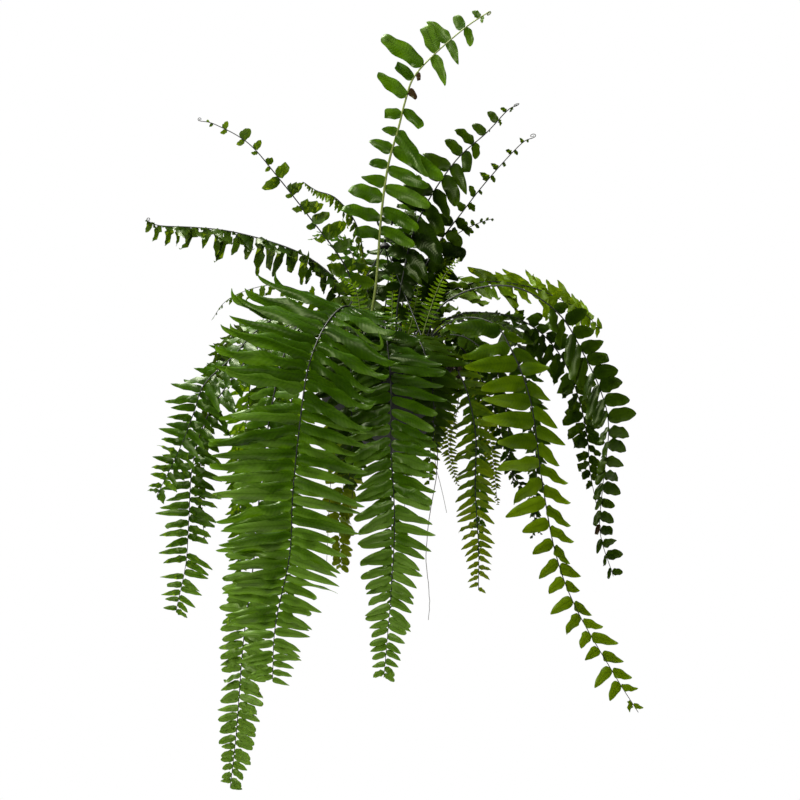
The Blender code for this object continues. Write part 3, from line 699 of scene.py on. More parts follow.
def add_leaflet(h, look, place, tangent, across, u, side, share, longest, chance):
    """Copies one leaflet to its station, with its own size, turn, temper and tone."""
    wild = h["wild"]
    sign = (-1.0, 1.0)[side]
    dry = share < 0.0 or chance.random() < h["dry"]
    upper = tangent.cross(across)
    length = longest * abs(share) * chance.uniform(1.0 - SHORTEN * wild, 1.0 + LENGTHEN * wild)
    width = h["widest"] * abs(share) ** WIDTH_POWER * chance.uniform(*WIDTH_SPREAD)
    width = min(width, BROADEST * length) * h["breadth"][side]
    lean = h["lean"][side] + h["lean_base"][side] * max(0.0, 1.0 - BASE_FADE * u)
    lean = math.radians(lean + chance.gauss(0.0, LEAN_SPREAD) * wild)
    heading = across * sign * math.cos(lean) + tangent * math.sin(lean)
    heading += Vector((0.0, 0.0, -h["droop"][side] * chance.uniform(*DROOP_SPREAD)))
    heading += upper * chance.gauss(0.0, LIFT_SPREAD) * wild
    roll = h["roll"][side] * -sign * min(1.0, ROLL_RISE * u)
    roll += chance.gauss(0.0, ROLL_SPREAD) * wild
    temper = chance.choices(tuple(LEAFLET_TEMPERS), h["tempers"])[0]
    outline = chance.choice(h["outline"])
    # The blend along the blade carries the frond's painted light; the spread added to it is
    # random.
    tone = blend(h["tone"], u) + chance.gauss(0.0, TONE_SPREAD)
    tone = min(TONE_LIMITS[1], max(TONE_LIMITS[0], tone))
    if dry:
        temper, tone = "curled", DRY_TONE
    size = "large" if h["large"] and length > LONG_LEAFLET else "small"
    hand = 1 - side if h["hooked"] else side
    matrix = leaflet_matrix(place, heading, upper, length, width, roll)
    leaflet = copy_to(KIT[(outline, temper, size)][hand], matrix)
    values = leaflet.data.attributes.new("tone", "FLOAT", "POINT")
    values.data.foreach_set("value", [tone] * len(leaflet.data.vertices))
    leaflet.data.materials.append(look)
    return leaflet


def grow(name, slot, root, points, facing, longest, **habit):
    """One frond along its route, with its leaflets copied along both sides."""
    h = {**HABIT, **habit}
    chance = random.Random(name)
    foot = [(root[0], root[1], CROWN_Z), (root[0], root[1], CROWN_Z + 0.014)]
    route = smooth_route(foot + list(points))
    lengths = route_lengths(route)
    blade_start = h["bare"] * lengths[-1]
    blade = lengths[-1] - blade_start
    full_route = add_crozier(route, facing[1], h["crozier"]) if h["crozier"] else route
    stalk = stalk_tube(name + "_new", full_route, h["thick"], h["thick"] * 0.3,
                       STALK_LOOKS[h["stalk"]])

    leaflets = []
    for side, distance, share in leaflet_stations(h, blade, chance):
        u = distance / blade
        where = blade_start + distance
        place = place_at(route, lengths, where)
        tangent = tangent_at(route, lengths, where)
        turned_to = blend(facing, where / lengths[-1])
        across = side_vector(tangent, turned_to, blend(h["tilt"], u))
        leaflets.append(add_leaflet(
            h, LEAF_LOOKS[slot], place, tangent, across, u, side, share, longest, chance))
    join_all(leaflets, stalk)
    stalk.name = name + "_grown"
    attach(stalk, "root")
    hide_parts(name)
    return stalk


def arch(azimuth, rise, reach, drop):
    """Points of a frond that rises from the crown, arches outwards and hangs."""
    return [
        on_circle(0.34 * reach, azimuth, CROWN_Z + 0.75 * rise),
        on_circle(0.62 * reach, azimuth, CROWN_Z + rise),
        on_circle(0.88 * reach, azimuth, CROWN_Z + 0.55 * rise),
        on_circle(0.99 * reach, azimuth, CROWN_Z - 0.25 * drop),
        on_circle(1.03 * reach, azimuth, CROWN_Z - 0.65 * drop),
        on_circle(1.00 * reach, azimuth, CROWN_Z - drop),
    ]


def grow_front_fronds():
    """The broad and the long fronds that hang in front, and two that fill in behind them."""
    grow("frond_front_left_broad", "leaf_fresh", (-0.020, -0.040), [
        (-0.035, -0.085, -0.160), (-0.055, -0.145, -0.145), (-0.080, -0.215, -0.175),
        (-0.100, -0.265, -0.230), (-0.110, -0.290, -0.300), (-0.120, -0.295, -0.400),
        (-0.125, -0.285, -0.485), (-0.145, -0.270, -0.580), (-0.150, -0.255, -0.655)],
        (-75, -75), 0.134, widest=0.0180, bare=0.12, spacing=0.0176, fullness=3.4,
        least=0.20, sides=(1.06, 0.84), lean=(-2, 4), tilt=(-12, 6), roll=(18, 16),
        large=True, tone=(0.20, 0.66), thick=0.0019, tempers=(2, 6, 0.6, 0.3), wild=1.3)
    grow("frond_front_left_long", "leaf_fresh", (-0.042, -0.030), [
        (-0.055, -0.060, -0.165), (-0.095, -0.110, -0.155), (-0.135, -0.155, -0.200),
        (-0.155, -0.185, -0.280), (-0.170, -0.200, -0.390), (-0.180, -0.200, -0.500),
        (-0.195, -0.195, -0.615), (-0.205, -0.185, -0.735), (-0.215, -0.175, -0.820)],
        (-130, -100), 0.054, widest=0.0145, bare=0.22, spacing=0.0155, fullness=3.6,
        least=0.30, outline=("blunt", "blunt", "sword"), sides=(0.85, 1.0), lean=(5, 5),
        roll=(18, 18), tone=(0.30, 0.80), thick=0.0017, wild=1.4)
    grow("frond_front_middle", "leaf_fresh", (0.004, -0.052), [
        (0.000, -0.120, -0.165), (0.005, -0.175, -0.200), (0.010, -0.200, -0.260),
        (0.010, -0.210, -0.340), (0.015, -0.205, -0.445), (0.010, -0.195, -0.545),
        (0.000, -0.180, -0.665)],
        (-90, -90), 0.082, widest=0.0170, bare=0.16, spacing=0.0172, fullness=1.9, least=0.18,
        outline=("sword", "blunt"), roll=(18, 18), large=True, tone=(0.04, 0.92),
        tempers=(3, 6, 0.6, 0.4), wild=1.3)
    grow("frond_front_right_long", "leaf_light", (0.044, -0.038), [
        (0.074, -0.068, -0.180), (0.112, -0.112, -0.160), (0.155, -0.148, -0.170),
        (0.180, -0.170, -0.210), (0.205, -0.180, -0.280), (0.220, -0.180, -0.385),
        (0.240, -0.170, -0.490), (0.270, -0.160, -0.570), (0.325, -0.150, -0.665),
        (0.360, -0.145, -0.720)],
        (-75, -60), 0.088, widest=0.0255, bare=0.18, lean=(2, 30), roll=(8, 24),
        lean_base=(-45, 0), large=True, tone=(0.14, 0.95), wild=1.7, tempers=(3, 6, 1, 1),
        shares=(
            (0.5, 0.7, 0.9, 0.85, 0.95, 1.0, 1.0, 1.0, 0.95, 0.85, 0.75, 0.7, 0.6, 0.5, 0.5,
             0.45, 0.4, 0.4, 0.35, 0.35, 0.4, 0.4, 0.2),
            (0.3, 0.4, 0.5, 0.5, 0.55, 0.6, 0.6, 0.6, 0.6, 0.55, 0.55, 0.5, 0.5, 0.45, 0.45,
             0.4, 0.4, 0.4, 0.45, 0.4, 0.4, 0.35, 0.2)))
    grow("frond_right_middle", "leaf_olive", (0.026, -0.040), [
        (0.046, -0.066, -0.202), (0.082, -0.104, -0.204), (0.114, -0.126, -0.255),
        (0.130, -0.130, -0.325), (0.130, -0.125, -0.405), (0.135, -0.120, -0.490),
        (0.135, -0.115, -0.550)],
        (-80, -80), 0.042, widest=0.0100, bare=0.22, spacing=0.0155, fullness=3.0, least=0.30,
        lean=(4, 18), tone=(0.10, 0.72), droop=(0.3, 0.1), wild=1.4)
    grow("frond_front_fill_left", "leaf_dark", (-0.008, -0.034), [
        (-0.020, -0.075, -0.182), (-0.040, -0.115, -0.190), (-0.048, -0.142, -0.245),
        (-0.045, -0.160, -0.320), (-0.050, -0.155, -0.400)],
        (-95, -95), 0.076, widest=0.0200, bare=0.12, spacing=0.0165, fullness=2.2,
        large=True)
    grow("frond_front_fill_right", "leaf_dark", (0.018, -0.024), [
        (0.028, -0.065, -0.188), (0.048, -0.110, -0.190), (0.063, -0.142, -0.230),
        (0.070, -0.152, -0.285), (0.070, -0.150, -0.340)],
        (-80, -80), 0.072, widest=0.0200, bare=0.12, spacing=0.0165, fullness=2.2,
        large=True)


def grow_left_fronds():
    """The hanging, drooping, level and rising fronds of the left side."""
    grow("frond_left_outer", "leaf_fresh", (-0.056, -0.014), [
        (-0.090, -0.050, -0.165), (-0.145, -0.090, -0.155), (-0.185, -0.115, -0.180),
        (-0.215, -0.130, -0.215), (-0.255, -0.140, -0.255), (-0.270, -0.140, -0.295),
        (-0.290, -0.135, -0.345), (-0.325, -0.125, -0.415)],
        (-150, -100), 0.056, widest=0.0130, bare=0.36, spacing=0.0180, fullness=2.8, least=0.30,
        tone=(0.18, 0.36), wild=1.6, lean=(5, 10), tempers=(3, 6, 0.6, 0.6))
    grow("frond_left_hanging", "leaf_fresh", (-0.054, 0.006), [
        (-0.090, -0.004, -0.170), (-0.140, -0.012, -0.165), (-0.190, -0.018, -0.200),
        (-0.230, -0.022, -0.250), (-0.265, -0.028, -0.305), (-0.285, -0.032, -0.375),
        (-0.290, -0.035, -0.455), (-0.295, -0.030, -0.520), (-0.310, -0.025, -0.590)],
        (-150, -85), 0.056, widest=0.0125, bare=0.32, spacing=0.0180, fullness=4.0, least=0.34,
        tone=(0.20, 0.50), wild=1.6, lean=(0, 5), roll=(12, 12), tempers=(3, 6, 0.6, 0.6))
    grow("frond_left_inner", "leaf_dark", (-0.046, -0.008), [
        (-0.075, -0.035, -0.170), (-0.120, -0.065, -0.165), (-0.155, -0.090, -0.210),
        (-0.175, -0.100, -0.280), (-0.185, -0.105, -0.350), (-0.195, -0.100, -0.420)],
        (-135, -125), 0.056, widest=0.0170, bare=0.16, spacing=0.0180)
    grow("frond_left_small", "leaf_light", (-0.050, -0.024), [
        (-0.068, -0.032, -0.160), (-0.110, -0.040, -0.125), (-0.155, -0.045, -0.108),
        (-0.200, -0.048, -0.115), (-0.235, -0.048, -0.133), (-0.255, -0.046, -0.160)],
        (-150, -150), 0.036, widest=0.0115, bare=0.12, wild=2.4, outline=("blunt",),
        thick=0.0010, droop=(0.6, 0.5), tilt=(25, 25), lean=(20, 30), tone=(0.10, 0.20),
        shares=(
            (0.8, 0.9, 1.0, 1.0, 0.9, 0.9, 0.8, 0.7, 0.6, 0.6, 0.6, 0.6, 0.6, 0.4, 0.2, 0.15),
            (0.8, 0.9, 1.0, 0.9, 0.9, 0.8, 0.7, 0.7, 0.5, 0.3, 0.5, 0.3, 0.3, 0.2, 0.15)))
    grow("frond_left_level", "leaf_dark", (-0.036, 0.018), [
        (-0.048, 0.030, -0.145), (-0.075, 0.045, -0.095), (-0.120, 0.055, -0.058),
        (-0.175, 0.060, -0.035), (-0.240, 0.065, -0.018), (-0.295, 0.065, -0.012),
        (-0.345, 0.060, -0.010), (-0.365, 0.060, -0.003)],
        (-170, -160), 0.064, widest=0.0160, bare=0.08, spacing=0.0215, fullness=4.5,
        least=0.34, lean=(20, -34), droop=(1.5, 0.5), wild=2.8, tempers=(2, 5, 3, 3),
        crozier=0.003, tone=(0.30, 0.45))
    grow("frond_left_rising", "leaf_light", (-0.028, 0.002), [
        (-0.035, 0.004, -0.160), (-0.050, 0.004, -0.100), (-0.070, 0.002, -0.060),
        (-0.112, 0.000, -0.005), (-0.160, 0.000, 0.056), (-0.205, 0.005, 0.108),
        (-0.255, 0.010, 0.137), (-0.280, 0.010, 0.143)],
        (-120, -110), 0.050, widest=0.0220, bare=0.20, outline=("round",), wild=2.2,
        lean=(10, -20), tempers=(3, 5, 3, 3), crozier=0.003, thick=0.0015,
        tone=(0.12, 0.20), shares=(
            (0.9, 0.8, 0.7, 0.5, 0.4, 0.3, 0.3, 0.2, 0.65, 0.2, 0.2, 0.35, 0.2, 0.2),
            (1.0, 0.9, 0.9, 0.8, 0.95, 0.75, 0.8, 0.7, 0.75, 0.4, 0.35, 0.45, 0.3, 0.2)))
    grow("frond_left_feathery", "leaf_light", (-0.018, 0.022), [
        (-0.024, 0.028, -0.140), (-0.032, 0.036, -0.065), (-0.045, 0.042, -0.008),
        (-0.075, 0.044, 0.030), (-0.105, 0.044, 0.042), (-0.125, 0.044, 0.055)],
        (-150, -150), 0.052, widest=0.0085, bare=0.32, spacing=0.0110, outline=("slim",),
        droop=(1.0, 1.0), fullness=1.8, tilt=(-20, -30), tone=(0.25, 0.35))


def grow_right_fronds():
    """The arching fronds of the right side, and the fine ones that hang behind them."""
    grow("frond_right_broad", "leaf_dark", (0.056, -0.012), [
        (0.075, -0.010, -0.150), (0.115, -0.020, -0.118), (0.170, -0.035, -0.108),
        (0.215, -0.045, -0.120), (0.260, -0.050, -0.155), (0.290, -0.050, -0.205),
        (0.318, -0.050, -0.265), (0.330, -0.045, -0.320), (0.322, -0.035, -0.410),
        (0.320, -0.025, -0.475), (0.340, -0.020, -0.540)],
        (-55, -75), 0.058, widest=0.0265, bare=0.40, outline=("blunt",), wild=1.8,
        lean=(20, -6), large=True, tone=(0.42, 0.45), tilt=(5, 0), roll=(60, 0),
        breadth=(0.6, 1.0), droop=(1.1, 0.1), tempers=(2, 5, 1.6, 1.4), shares=(
            (0.8, 0.9, 1.0, 1.0, 1.0, 1.0, 0.9, 0.8, 0.7, 0.6, 0.6, 0.6, 0.5, 0.5, 0.45, 0.45,
             -0.4, 0.45, 0.4, 0.3),
            (0.6, 0.7, 0.7, 0.7, 0.7, 0.7, 0.68, 0.68, 0.9, 0.65, 0.6, 0.55, 0.5, 0.5, 0.45,
             0.45, 0.45, 0.4, 0.45, 0.3)))
    grow("frond_right_light_arch", "leaf_light", (0.050, 0.022), [
        (0.072, 0.036, -0.140), (0.108, 0.048, -0.108), (0.160, 0.060, -0.096),
        (0.225, 0.070, -0.104), (0.272, 0.070, -0.124), (0.305, 0.070, -0.143),
        (0.330, 0.065, -0.168)],
        (-20, -20), 0.062, widest=0.0165, bare=0.14, spacing=0.0165, outline=("slim", "sword"),
        fullness=3.4, least=0.25, droop=(0.2, 0.1), lean=(40, -56), tilt=(56, 50),
        tone=(0.30, 0.75), wild=2.8, tempers=(2, 5, 3, 2), gaps=0.06, hooked=True)
    grow("frond_right_back_dark", "leaf_dark", (0.052, 0.006), [
        (0.085, 0.018, -0.160), (0.160, 0.036, -0.145), (0.225, 0.050, -0.165),
        (0.272, 0.056, -0.215), (0.298, 0.058, -0.280), (0.310, 0.056, -0.340),
        (0.313, 0.052, -0.385), (0.322, 0.048, -0.435)],
        (-40, -60), 0.058, widest=0.0200, bare=0.20, spacing=0.0205, outline=("blunt",),
        wild=2.0, gaps=0.10, tempers=(3, 4, 2, 2), tone=(0.35, 0.45), fullness=3.0)
    grow("frond_right_low", "leaf_dark", (0.054, -0.002), [
        (0.080, -0.004, -0.185), (0.122, -0.014, -0.185), (0.162, -0.026, -0.225),
        (0.180, -0.034, -0.290), (0.184, -0.036, -0.350), (0.190, -0.034, -0.400)],
        (-30, -40), 0.048, widest=0.0150, bare=0.14, spacing=0.0170, wild=1.4)
    grow("frond_right_inner", "leaf_dark", (0.032, 0.002), [
        (0.060, 0.006, -0.180), (0.110, 0.010, -0.195), (0.148, 0.015, -0.250),
        (0.175, 0.020, -0.325), (0.195, 0.020, -0.390), (0.222, 0.020, -0.432),
        (0.235, 0.020, -0.480)],
        (-60, -60), 0.036, widest=0.0120, bare=0.14, spacing=0.0150, wild=1.7)
    grow("frond_right_fine_near", "leaf_olive", (0.018, 0.040), [
        (0.055, 0.078, -0.180), (0.085, 0.108, -0.225), (0.095, 0.118, -0.295),
        (0.100, 0.120, -0.365), (0.113, 0.115, -0.412)],
        (-90, -90), 0.024, widest=0.0065, bare=0.35, spacing=0.0085, outline=("slim",),
        stalk="pale", thick=0.0009, tone=(0.72, 0.79), fullness=2.5)
    grow("frond_right_fine_far", "leaf_olive", (0.042, 0.040), [
        (0.066, 0.062, -0.175), (0.115, 0.095, -0.195), (0.150, 0.108, -0.265),
        (0.165, 0.110, -0.350), (0.175, 0.105, -0.440)],
        (-80, -80), 0.024, widest=0.0065, bare=0.40, spacing=0.0085, outline=("slim",),
        stalk="pale", thick=0.0009, tone=(0.50, 0.60), fullness=2.5)


def grow_upright_fronds():
    """The fronds that stand up in the middle; tall is what most of them have in common."""
    tall = {"outline": ("blunt", "blunt", "sword"), "hooked": True, "large": True,
            "droop": (0.0, 0.0), "tempers": (2, 6, 2, 2)}
    grow("frond_upright_tall", "leaf_fresh", (-0.018, -0.020), [
        (-0.020, -0.028, -0.160), (-0.012, -0.045, -0.100), (-0.005, -0.070, -0.010),
        (0.005, -0.090, 0.060), (0.020, -0.110, 0.112), (0.030, -0.120, 0.150),
        (0.042, -0.130, 0.182), (0.070, -0.140, 0.212), (0.115, -0.145, 0.250),
        (0.148, -0.145, 0.272)],
        (-105, -100), 0.097, widest=0.0270, bare=0.34, lean=(14, -14), wild=1.8,
        breadth=(1.0, 0.86), stalk="pale", thick=0.0024, crozier=0.004, tone=(0.30, 0.50),
        shares=(
            (0.50, 0.60, 0.68, 0.46, 0.30, 0.48, 0.26, 0.34, 0.62, 0.42, 0.82, 0.56, 0.50,
             0.34, 0.18),
            (0.60, 0.70, 0.80, 0.85, 0.94, 0.92, 0.48, -0.20, -0.16, 0.52, 0.38, 0.30,
             0.14)), **tall)
    grow("frond_upright_right_near", "leaf_dark", (0.016, -0.034), [
        (0.018, -0.044, -0.150), (0.024, -0.048, -0.110), (0.038, -0.050, -0.045),
        (0.062, -0.052, 0.012), (0.105, -0.052, 0.075), (0.150, -0.050, 0.116),
        (0.180, -0.050, 0.148), (0.195, -0.050, 0.156)],
        (-115, -80), 0.078, widest=0.0240, bare=0.26, lean=(10, -26), wild=2.3,
        crozier=0.005, thick=0.0017, tone=(0.15, 0.62), shares=(
            (0.35, 0.45, 0.6, 0.7, 0.8, 0.8, 0.75, 0.7, 0.6, 0.5, 0.42, 0.36, 0.26, 0.16),
            (0.35, 0.5, 0.7, 0.85, 1.0, 0.95, 0.85, 0.75, 0.65, 0.52, 0.32, 0.05, 0.14,
             0.14)), **tall)
    grow("frond_upright_right_far", "leaf_dark", (0.026, 0.014), [
        (0.040, 0.016, -0.125), (0.075, 0.022, -0.050), (0.115, 0.028, 0.005),
        (0.156, 0.030, 0.057), (0.205, 0.030, 0.110), (0.226, 0.030, 0.121)],
        (-80, -70), 0.066, widest=0.0240, bare=0.18, wild=1.9, crozier=0.005,
        thick=0.0016, tone=(0.10, 0.62), shares=(
            (0.8, 1.0, 1.0, 0.9, 0.8, 0.6, 0.5, 0.35, 0.32, 0.30, 0.22, 0.18, 0.14),
            (0.8, 1.0, 1.0, 0.9, 0.8, 0.6, 0.5, 0.28, 0.12, 0.20, 0.12, 0.16, 0.12)), **tall)
    grow("frond_upright_right_short", "leaf_dark", (0.038, 0.024), [
        (0.055, 0.034, -0.125), (0.082, 0.042, -0.068), (0.106, 0.046, -0.028),
        (0.136, 0.048, -0.010), (0.165, 0.048, 0.000)],
        (-80, -70), 0.042, widest=0.0170, bare=0.25, spacing=0.0180, fullness=1.0,
        wild=2.0, outline=("blunt",))
    grow("frond_upright_middle", "leaf_fresh", (0.020, 0.022), [
        (0.026, 0.034, -0.140), (0.030, 0.052, -0.085), (0.040, 0.066, -0.020),
        (0.050, 0.068, 0.030), (0.048, 0.062, 0.070)],
        (-115, -100), 0.056, widest=0.0165, bare=0.38, spacing=0.0220, lean=(10, -24),
        wild=2.2, tone=(0.25, 0.35), **tall)
    grow("frond_upright_back_left", "leaf_fresh", (-0.020, 0.050), [
        (-0.028, 0.066, -0.150), (-0.040, 0.100, -0.085), (-0.060, 0.135, -0.035),
        (-0.090, 0.165, -0.010), (-0.120, 0.185, -0.020)],
        (120, 120), 0.056, widest=0.0180, bare=0.22, spacing=0.0190, tone=(0.30, 0.35))
    grow("frond_upright_back", "leaf_dark", (0.000, 0.028), [
        (0.000, 0.045, -0.140), (0.010, 0.080, -0.060), (0.026, 0.110, 0.005),
        (0.046, 0.130, 0.058)],
        (80, 80), 0.060, widest=0.0170, bare=0.34, spacing=0.0210, wild=2.0, **tall)


def grow_young_fronds():
    """Slender new fronds, hardly opened, that stand in the crown."""
    young = {"outline": ("slim",), "widest": 0.0045, "spacing": 0.0070, "stalk": "pale",
             "thick": 0.0009, "tone": (0.25, 0.45), "fullness": 1.8, "bare": 0.35}
    grow("frond_young_left", "leaf_young", (-0.032, -0.014), [
        (-0.036, -0.026, -0.160), (-0.044, -0.032, -0.112), (-0.072, -0.034, -0.094)],
        (-100, -100), 0.018, **young)
    grow("frond_young_front", "leaf_young", (0.006, -0.030), [
        (0.010, -0.036, -0.160), (0.012, -0.040, -0.080)],
        (-90, -90), 0.014, crozier=0.003, **young)
    grow("frond_young_middle", "leaf_young", (0.020, 0.002), [
        (0.040, 0.000, -0.160), (0.052, -0.004, -0.095)],
        (-90, -90), 0.016, crozier=0.003, **young)
    grow("frond_young_right", "leaf_young", (0.046, -0.022), [
        (0.062, -0.022, -0.160), (0.084, -0.022, -0.100), (0.110, -0.022, -0.068)],
        (-80, -80), 0.018, crozier=0.003, **young)
    grow("frond_young_back", "leaf_young", (-0.022, 0.036), [
        (-0.034, 0.056, -0.150), (-0.050, 0.075, -0.100)],
        (90, 90), 0.020, crozier=0.003, **young)


BACK_FRONDS = (
    # name, azimuth, rise, reach, drop, longest leaflet, slot
    ("frond_back_far_right", 36, 0.095, 0.290, 0.260, 0.055, "leaf_dark"),
    ("frond_back_right", 52, 0.085, 0.240, 0.290, 0.045, "leaf_fresh"),
    ("frond_back_middle_right", 74, 0.110, 0.255, 0.180, 0.060, "leaf_light"),
    ("frond_back_middle", 88, 0.075, 0.235, 0.380, 0.055, "leaf_fresh"),
    ("frond_back_middle_left", 106, 0.100, 0.250, 0.170, 0.060, "leaf_dark"),
    ("frond_back_left", 127, 0.072, 0.265, 0.420, 0.060, "leaf_fresh"),
    ("frond_back_far_left", 142, 0.090, 0.290, 0.380, 0.060, "leaf_fresh"),
    ("frond_back_left_side", 160, 0.080, 0.300, 0.260, 0.050, "leaf_dark"),
)
BACK_ROOT_RADIUS = 0.052


def grow_back_fronds():
    """The arching fronds all round the back, and an olive one that hangs."""
    for name, azimuth, rise, reach, drop, longest, slot in BACK_FRONDS:
        root = on_circle(BACK_ROOT_RADIUS, azimuth, 0.0)[:2]
        grow(name, slot, root, arch(azimuth, rise, reach, drop), (azimuth, azimuth), longest,
             widest=0.0165, bare=0.18, spacing=0.0180, fullness=2.2)
    grow("frond_back_hanging_olive", "leaf_olive", (-0.026, 0.050), [
        (-0.034, 0.085, -0.170), (-0.052, 0.120, -0.190), (-0.064, 0.145, -0.280),
        (-0.065, 0.150, -0.390), (-0.074, 0.145, -0.470), (-0.070, 0.140, -0.540)],
        (-100, -80), 0.036, widest=0.0150, bare=0.40, spacing=0.0125, outline=("blunt",),
        wild=2.0, stalk="pale", thick=0.0010, tempers=(3, 4, 2, 2), fullness=3.0, least=0.35,
        tone=(0.62, 0.64))


# ---------------------------------------------------------------- pot, soil and roots

def turned_by_steps(name, profile, sides, look, angle):
    """A turned solid: a filled circle, extruded and resized from one (radius, z) to the next."""
    first_radius, first_z = profile[0]
    bpy.ops.mesh.primitive_circle_add(
        vertices=sides, radius=first_radius, fill_type="NGON", location=(0.0, 0.0, first_z))
    solid = bpy.context.object
    solid.name = name
    apply_place(solid)
    bpy.ops.object.mode_set(mode="EDIT")
    bpy.ops.mesh.select_all(action="SELECT")
    radius, z = first_radius, first_z
    for next_radius, next_z in profile[1:]:
        bpy.ops.mesh.extrude_region_move(
            TRANSFORM_OT_translate={"value": (0.0, 0.0, next_z - z)})
        stretch = next_radius / radius
        bpy.ops.transform.resize(value=(stretch, stretch, 1.0), center_override=(0.0, 0.0, next_z))
        radius, z = next_radius, next_z
    bpy.ops.mesh.select_all(action="SELECT")
    bpy.ops.mesh.normals_make_consistent(inside=False)
    bpy.ops.object.mode_set(mode="OBJECT")
    solid.data.materials.append(look)
    smooth_by_angle(solid, angle)
    return solid


def pot_outer_radius(depth):
    """Outside radius of the pot's wall at a depth under the rim: a bowl that rounds in."""
    top_radius = RIM_RADIUS - LIP_WIDTH
    share = depth / POT_HEIGHT
    return POT_BASE_RADIUS + (top_radius - POT_BASE_RADIUS) * (1.0 - share ** 2.2)


WALL_SHARES = (0.96, 0.88, 0.78, 0.68, 0.56, 0.44, 0.32, 0.22)     # of the depth, base first
FOOT_INSET = 0.003
FOOT_EDGE = 0.0006
BAND_DEPTH = 0.026          # depth under the rim of the groove round the wall
GROOVE = 0.0006
LIP_ROUND = 0.0025          # radius of the lip's upper edge
LIP_EDGE = 0.0012


def make_pot():
    """The bowl with its rolled lip, a moulded groove under it and a foot ring."""
    base_z = RIM_Z - POT_HEIGHT
    band_z = RIM_Z - BAND_DEPTH
    band_radius = pot_outer_radius(BAND_DEPTH)
    lip_z = RIM_Z - LIP_HEIGHT
    depths = [POT_HEIGHT * share for share in WALL_SHARES]
    outside = [
        (POT_BASE_RADIUS - FOOT_INSET, base_z + 0.0015),
        (POT_BASE_RADIUS - FOOT_INSET, base_z),
        (POT_BASE_RADIUS - FOOT_EDGE, base_z),
        (POT_BASE_RADIUS + FOOT_EDGE, base_z + 0.001),
    ]
    outside += [(pot_outer_radius(d), RIM_Z - d) for d in depths]
    outside += [
        (pot_outer_radius(BAND_DEPTH + 0.002), band_z - 0.002),
        (band_radius - GROOVE, band_z - 0.001),
        (band_radius - GROOVE, band_z),
        (band_radius, band_z + 0.001),
        (RIM_RADIUS - LIP_WIDTH, lip_z - 0.001),
        (RIM_RADIUS - LIP_WIDTH + 0.001, lip_z),
    ]
    lip = [(RIM_RADIUS - LIP_EDGE, lip_z), (RIM_RADIUS, lip_z + LIP_EDGE)]
    for degrees in range(0, 91, 18):
        angle = math.radians(degrees)
        lip.append((RIM_RADIUS - LIP_ROUND * (1 - math.cos(angle)),
                    RIM_Z - LIP_ROUND * (1 - math.sin(angle))))
    mouth = RIM_RADIUS - LIP_WIDTH - POT_WALL
    lip += [(mouth + 0.0015, RIM_Z), (mouth, RIM_Z - 0.0015)]
    inside = [(pot_outer_radius(d) - POT_WALL, RIM_Z - d) for d in reversed(depths)]
    inside += [(POT_BASE_RADIUS - POT_WALL, base_z + POT_WALL)]
    pot = turned_by_steps("grow_pot", outside + lip + inside, 96, POT_LOOK, 40)
    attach(pot, "root")
    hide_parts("pot")


def scatter_copies(source, places, target, chance, sizes):
    """Copies source to each place, turned at random, and joins them all to target."""
    copies = []
    for place in places:
        size = chance.uniform(*sizes)
        turn = Matrix.Rotation(chance.uniform(0, math.tau), 4, "Z")
        tilt = Matrix.Rotation(chance.uniform(-0.5, 0.5), 4, "X")
        matrix = Matrix.Translation(place) @ turn @ tilt @ Matrix.Scale(size, 4)
        copies.append(copy_to(source, matrix))
    join_all(copies, target)


SOIL_GAP = 0.0006           # between the soil and the pot
SOIL_ROUGHNESS = (-0.0012, 0.0022)
CRUMBS = (
    # count, look, smallest and largest radius
    (90, SOIL_LOOK, (0.0015, 0.0035)),
    (46, GRIT_LOOK, (0.0010, 0.0022)),
)


def make_crumb():
    """A rough pebble of unit size."""
    bpy.ops.mesh.primitive_ico_sphere_add(subdivisions=1, radius=1.0, location=(0.0, 0.0, 0.0))
    crumb = bpy.context.object
    bpy.ops.object.mode_set(mode="EDIT")
    bpy.ops.mesh.select_all(action="SELECT")
    bpy.ops.transform.vertex_random(offset=0.35, seed=5)
    bpy.ops.transform.resize(value=(1.0, 0.8, 0.6), center_override=(0.0, 0.0, 0.0))
    bpy.ops.object.mode_set(mode="OBJECT")
    crumb.data.materials.append(SOIL_LOOK)
    return crumb


def make_soil():
    """Peat, roughened on top, with crumbs and white perlite on it."""
    chance = random.Random("soil")
    floor_z = RIM_Z - POT_HEIGHT + POT_WALL + SOIL_GAP
    slack = POT_WALL + SOIL_GAP
    depths = [POT_HEIGHT * share for share in (0.9, 0.75, 0.6, 0.45, 0.25)]
    profile = [(POT_BASE_RADIUS - slack - 0.001, floor_z)]
    profile += [(pot_outer_radius(d) - slack, RIM_Z - d) for d in depths]
    edge = pot_outer_radius(RIM_Z - SOIL_Z) - slack
    profile += [(edge, SOIL_Z - 0.002)]
    for share in (0.96, 0.88, 0.80, 0.70, 0.55, 0.35, 0.15):
        profile.append((edge * share, SOIL_Z - 0.001))
    soil = turned_by_steps("peat_soil_fill", profile, 72, SOIL_LOOK, 70)
    for vertex in soil.data.vertices:
        if vertex.co.z > SOIL_Z - 0.0015:
            vertex.co.z += chance.uniform(*SOIL_ROUGHNESS)

    crumb = make_crumb()
    for count, look, sizes in CRUMBS:
        crumb.data.materials[0] = look
        places = []
        for _ in range(count):
            radius = chance.uniform(CROWN_RADIUS + CROWN_SPREAD, edge - 0.004)
            places.append(on_circle(radius, chance.uniform(0, 360), SOIL_Z + 0.0008))
        scatter_copies(crumb, places, soil, chance, sizes)
    bpy.data.objects.remove(crumb, do_unlink=True)
    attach(soil, "root")
    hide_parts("soil")


STUB_COUNT = 34
SCALE_COUNT = 320


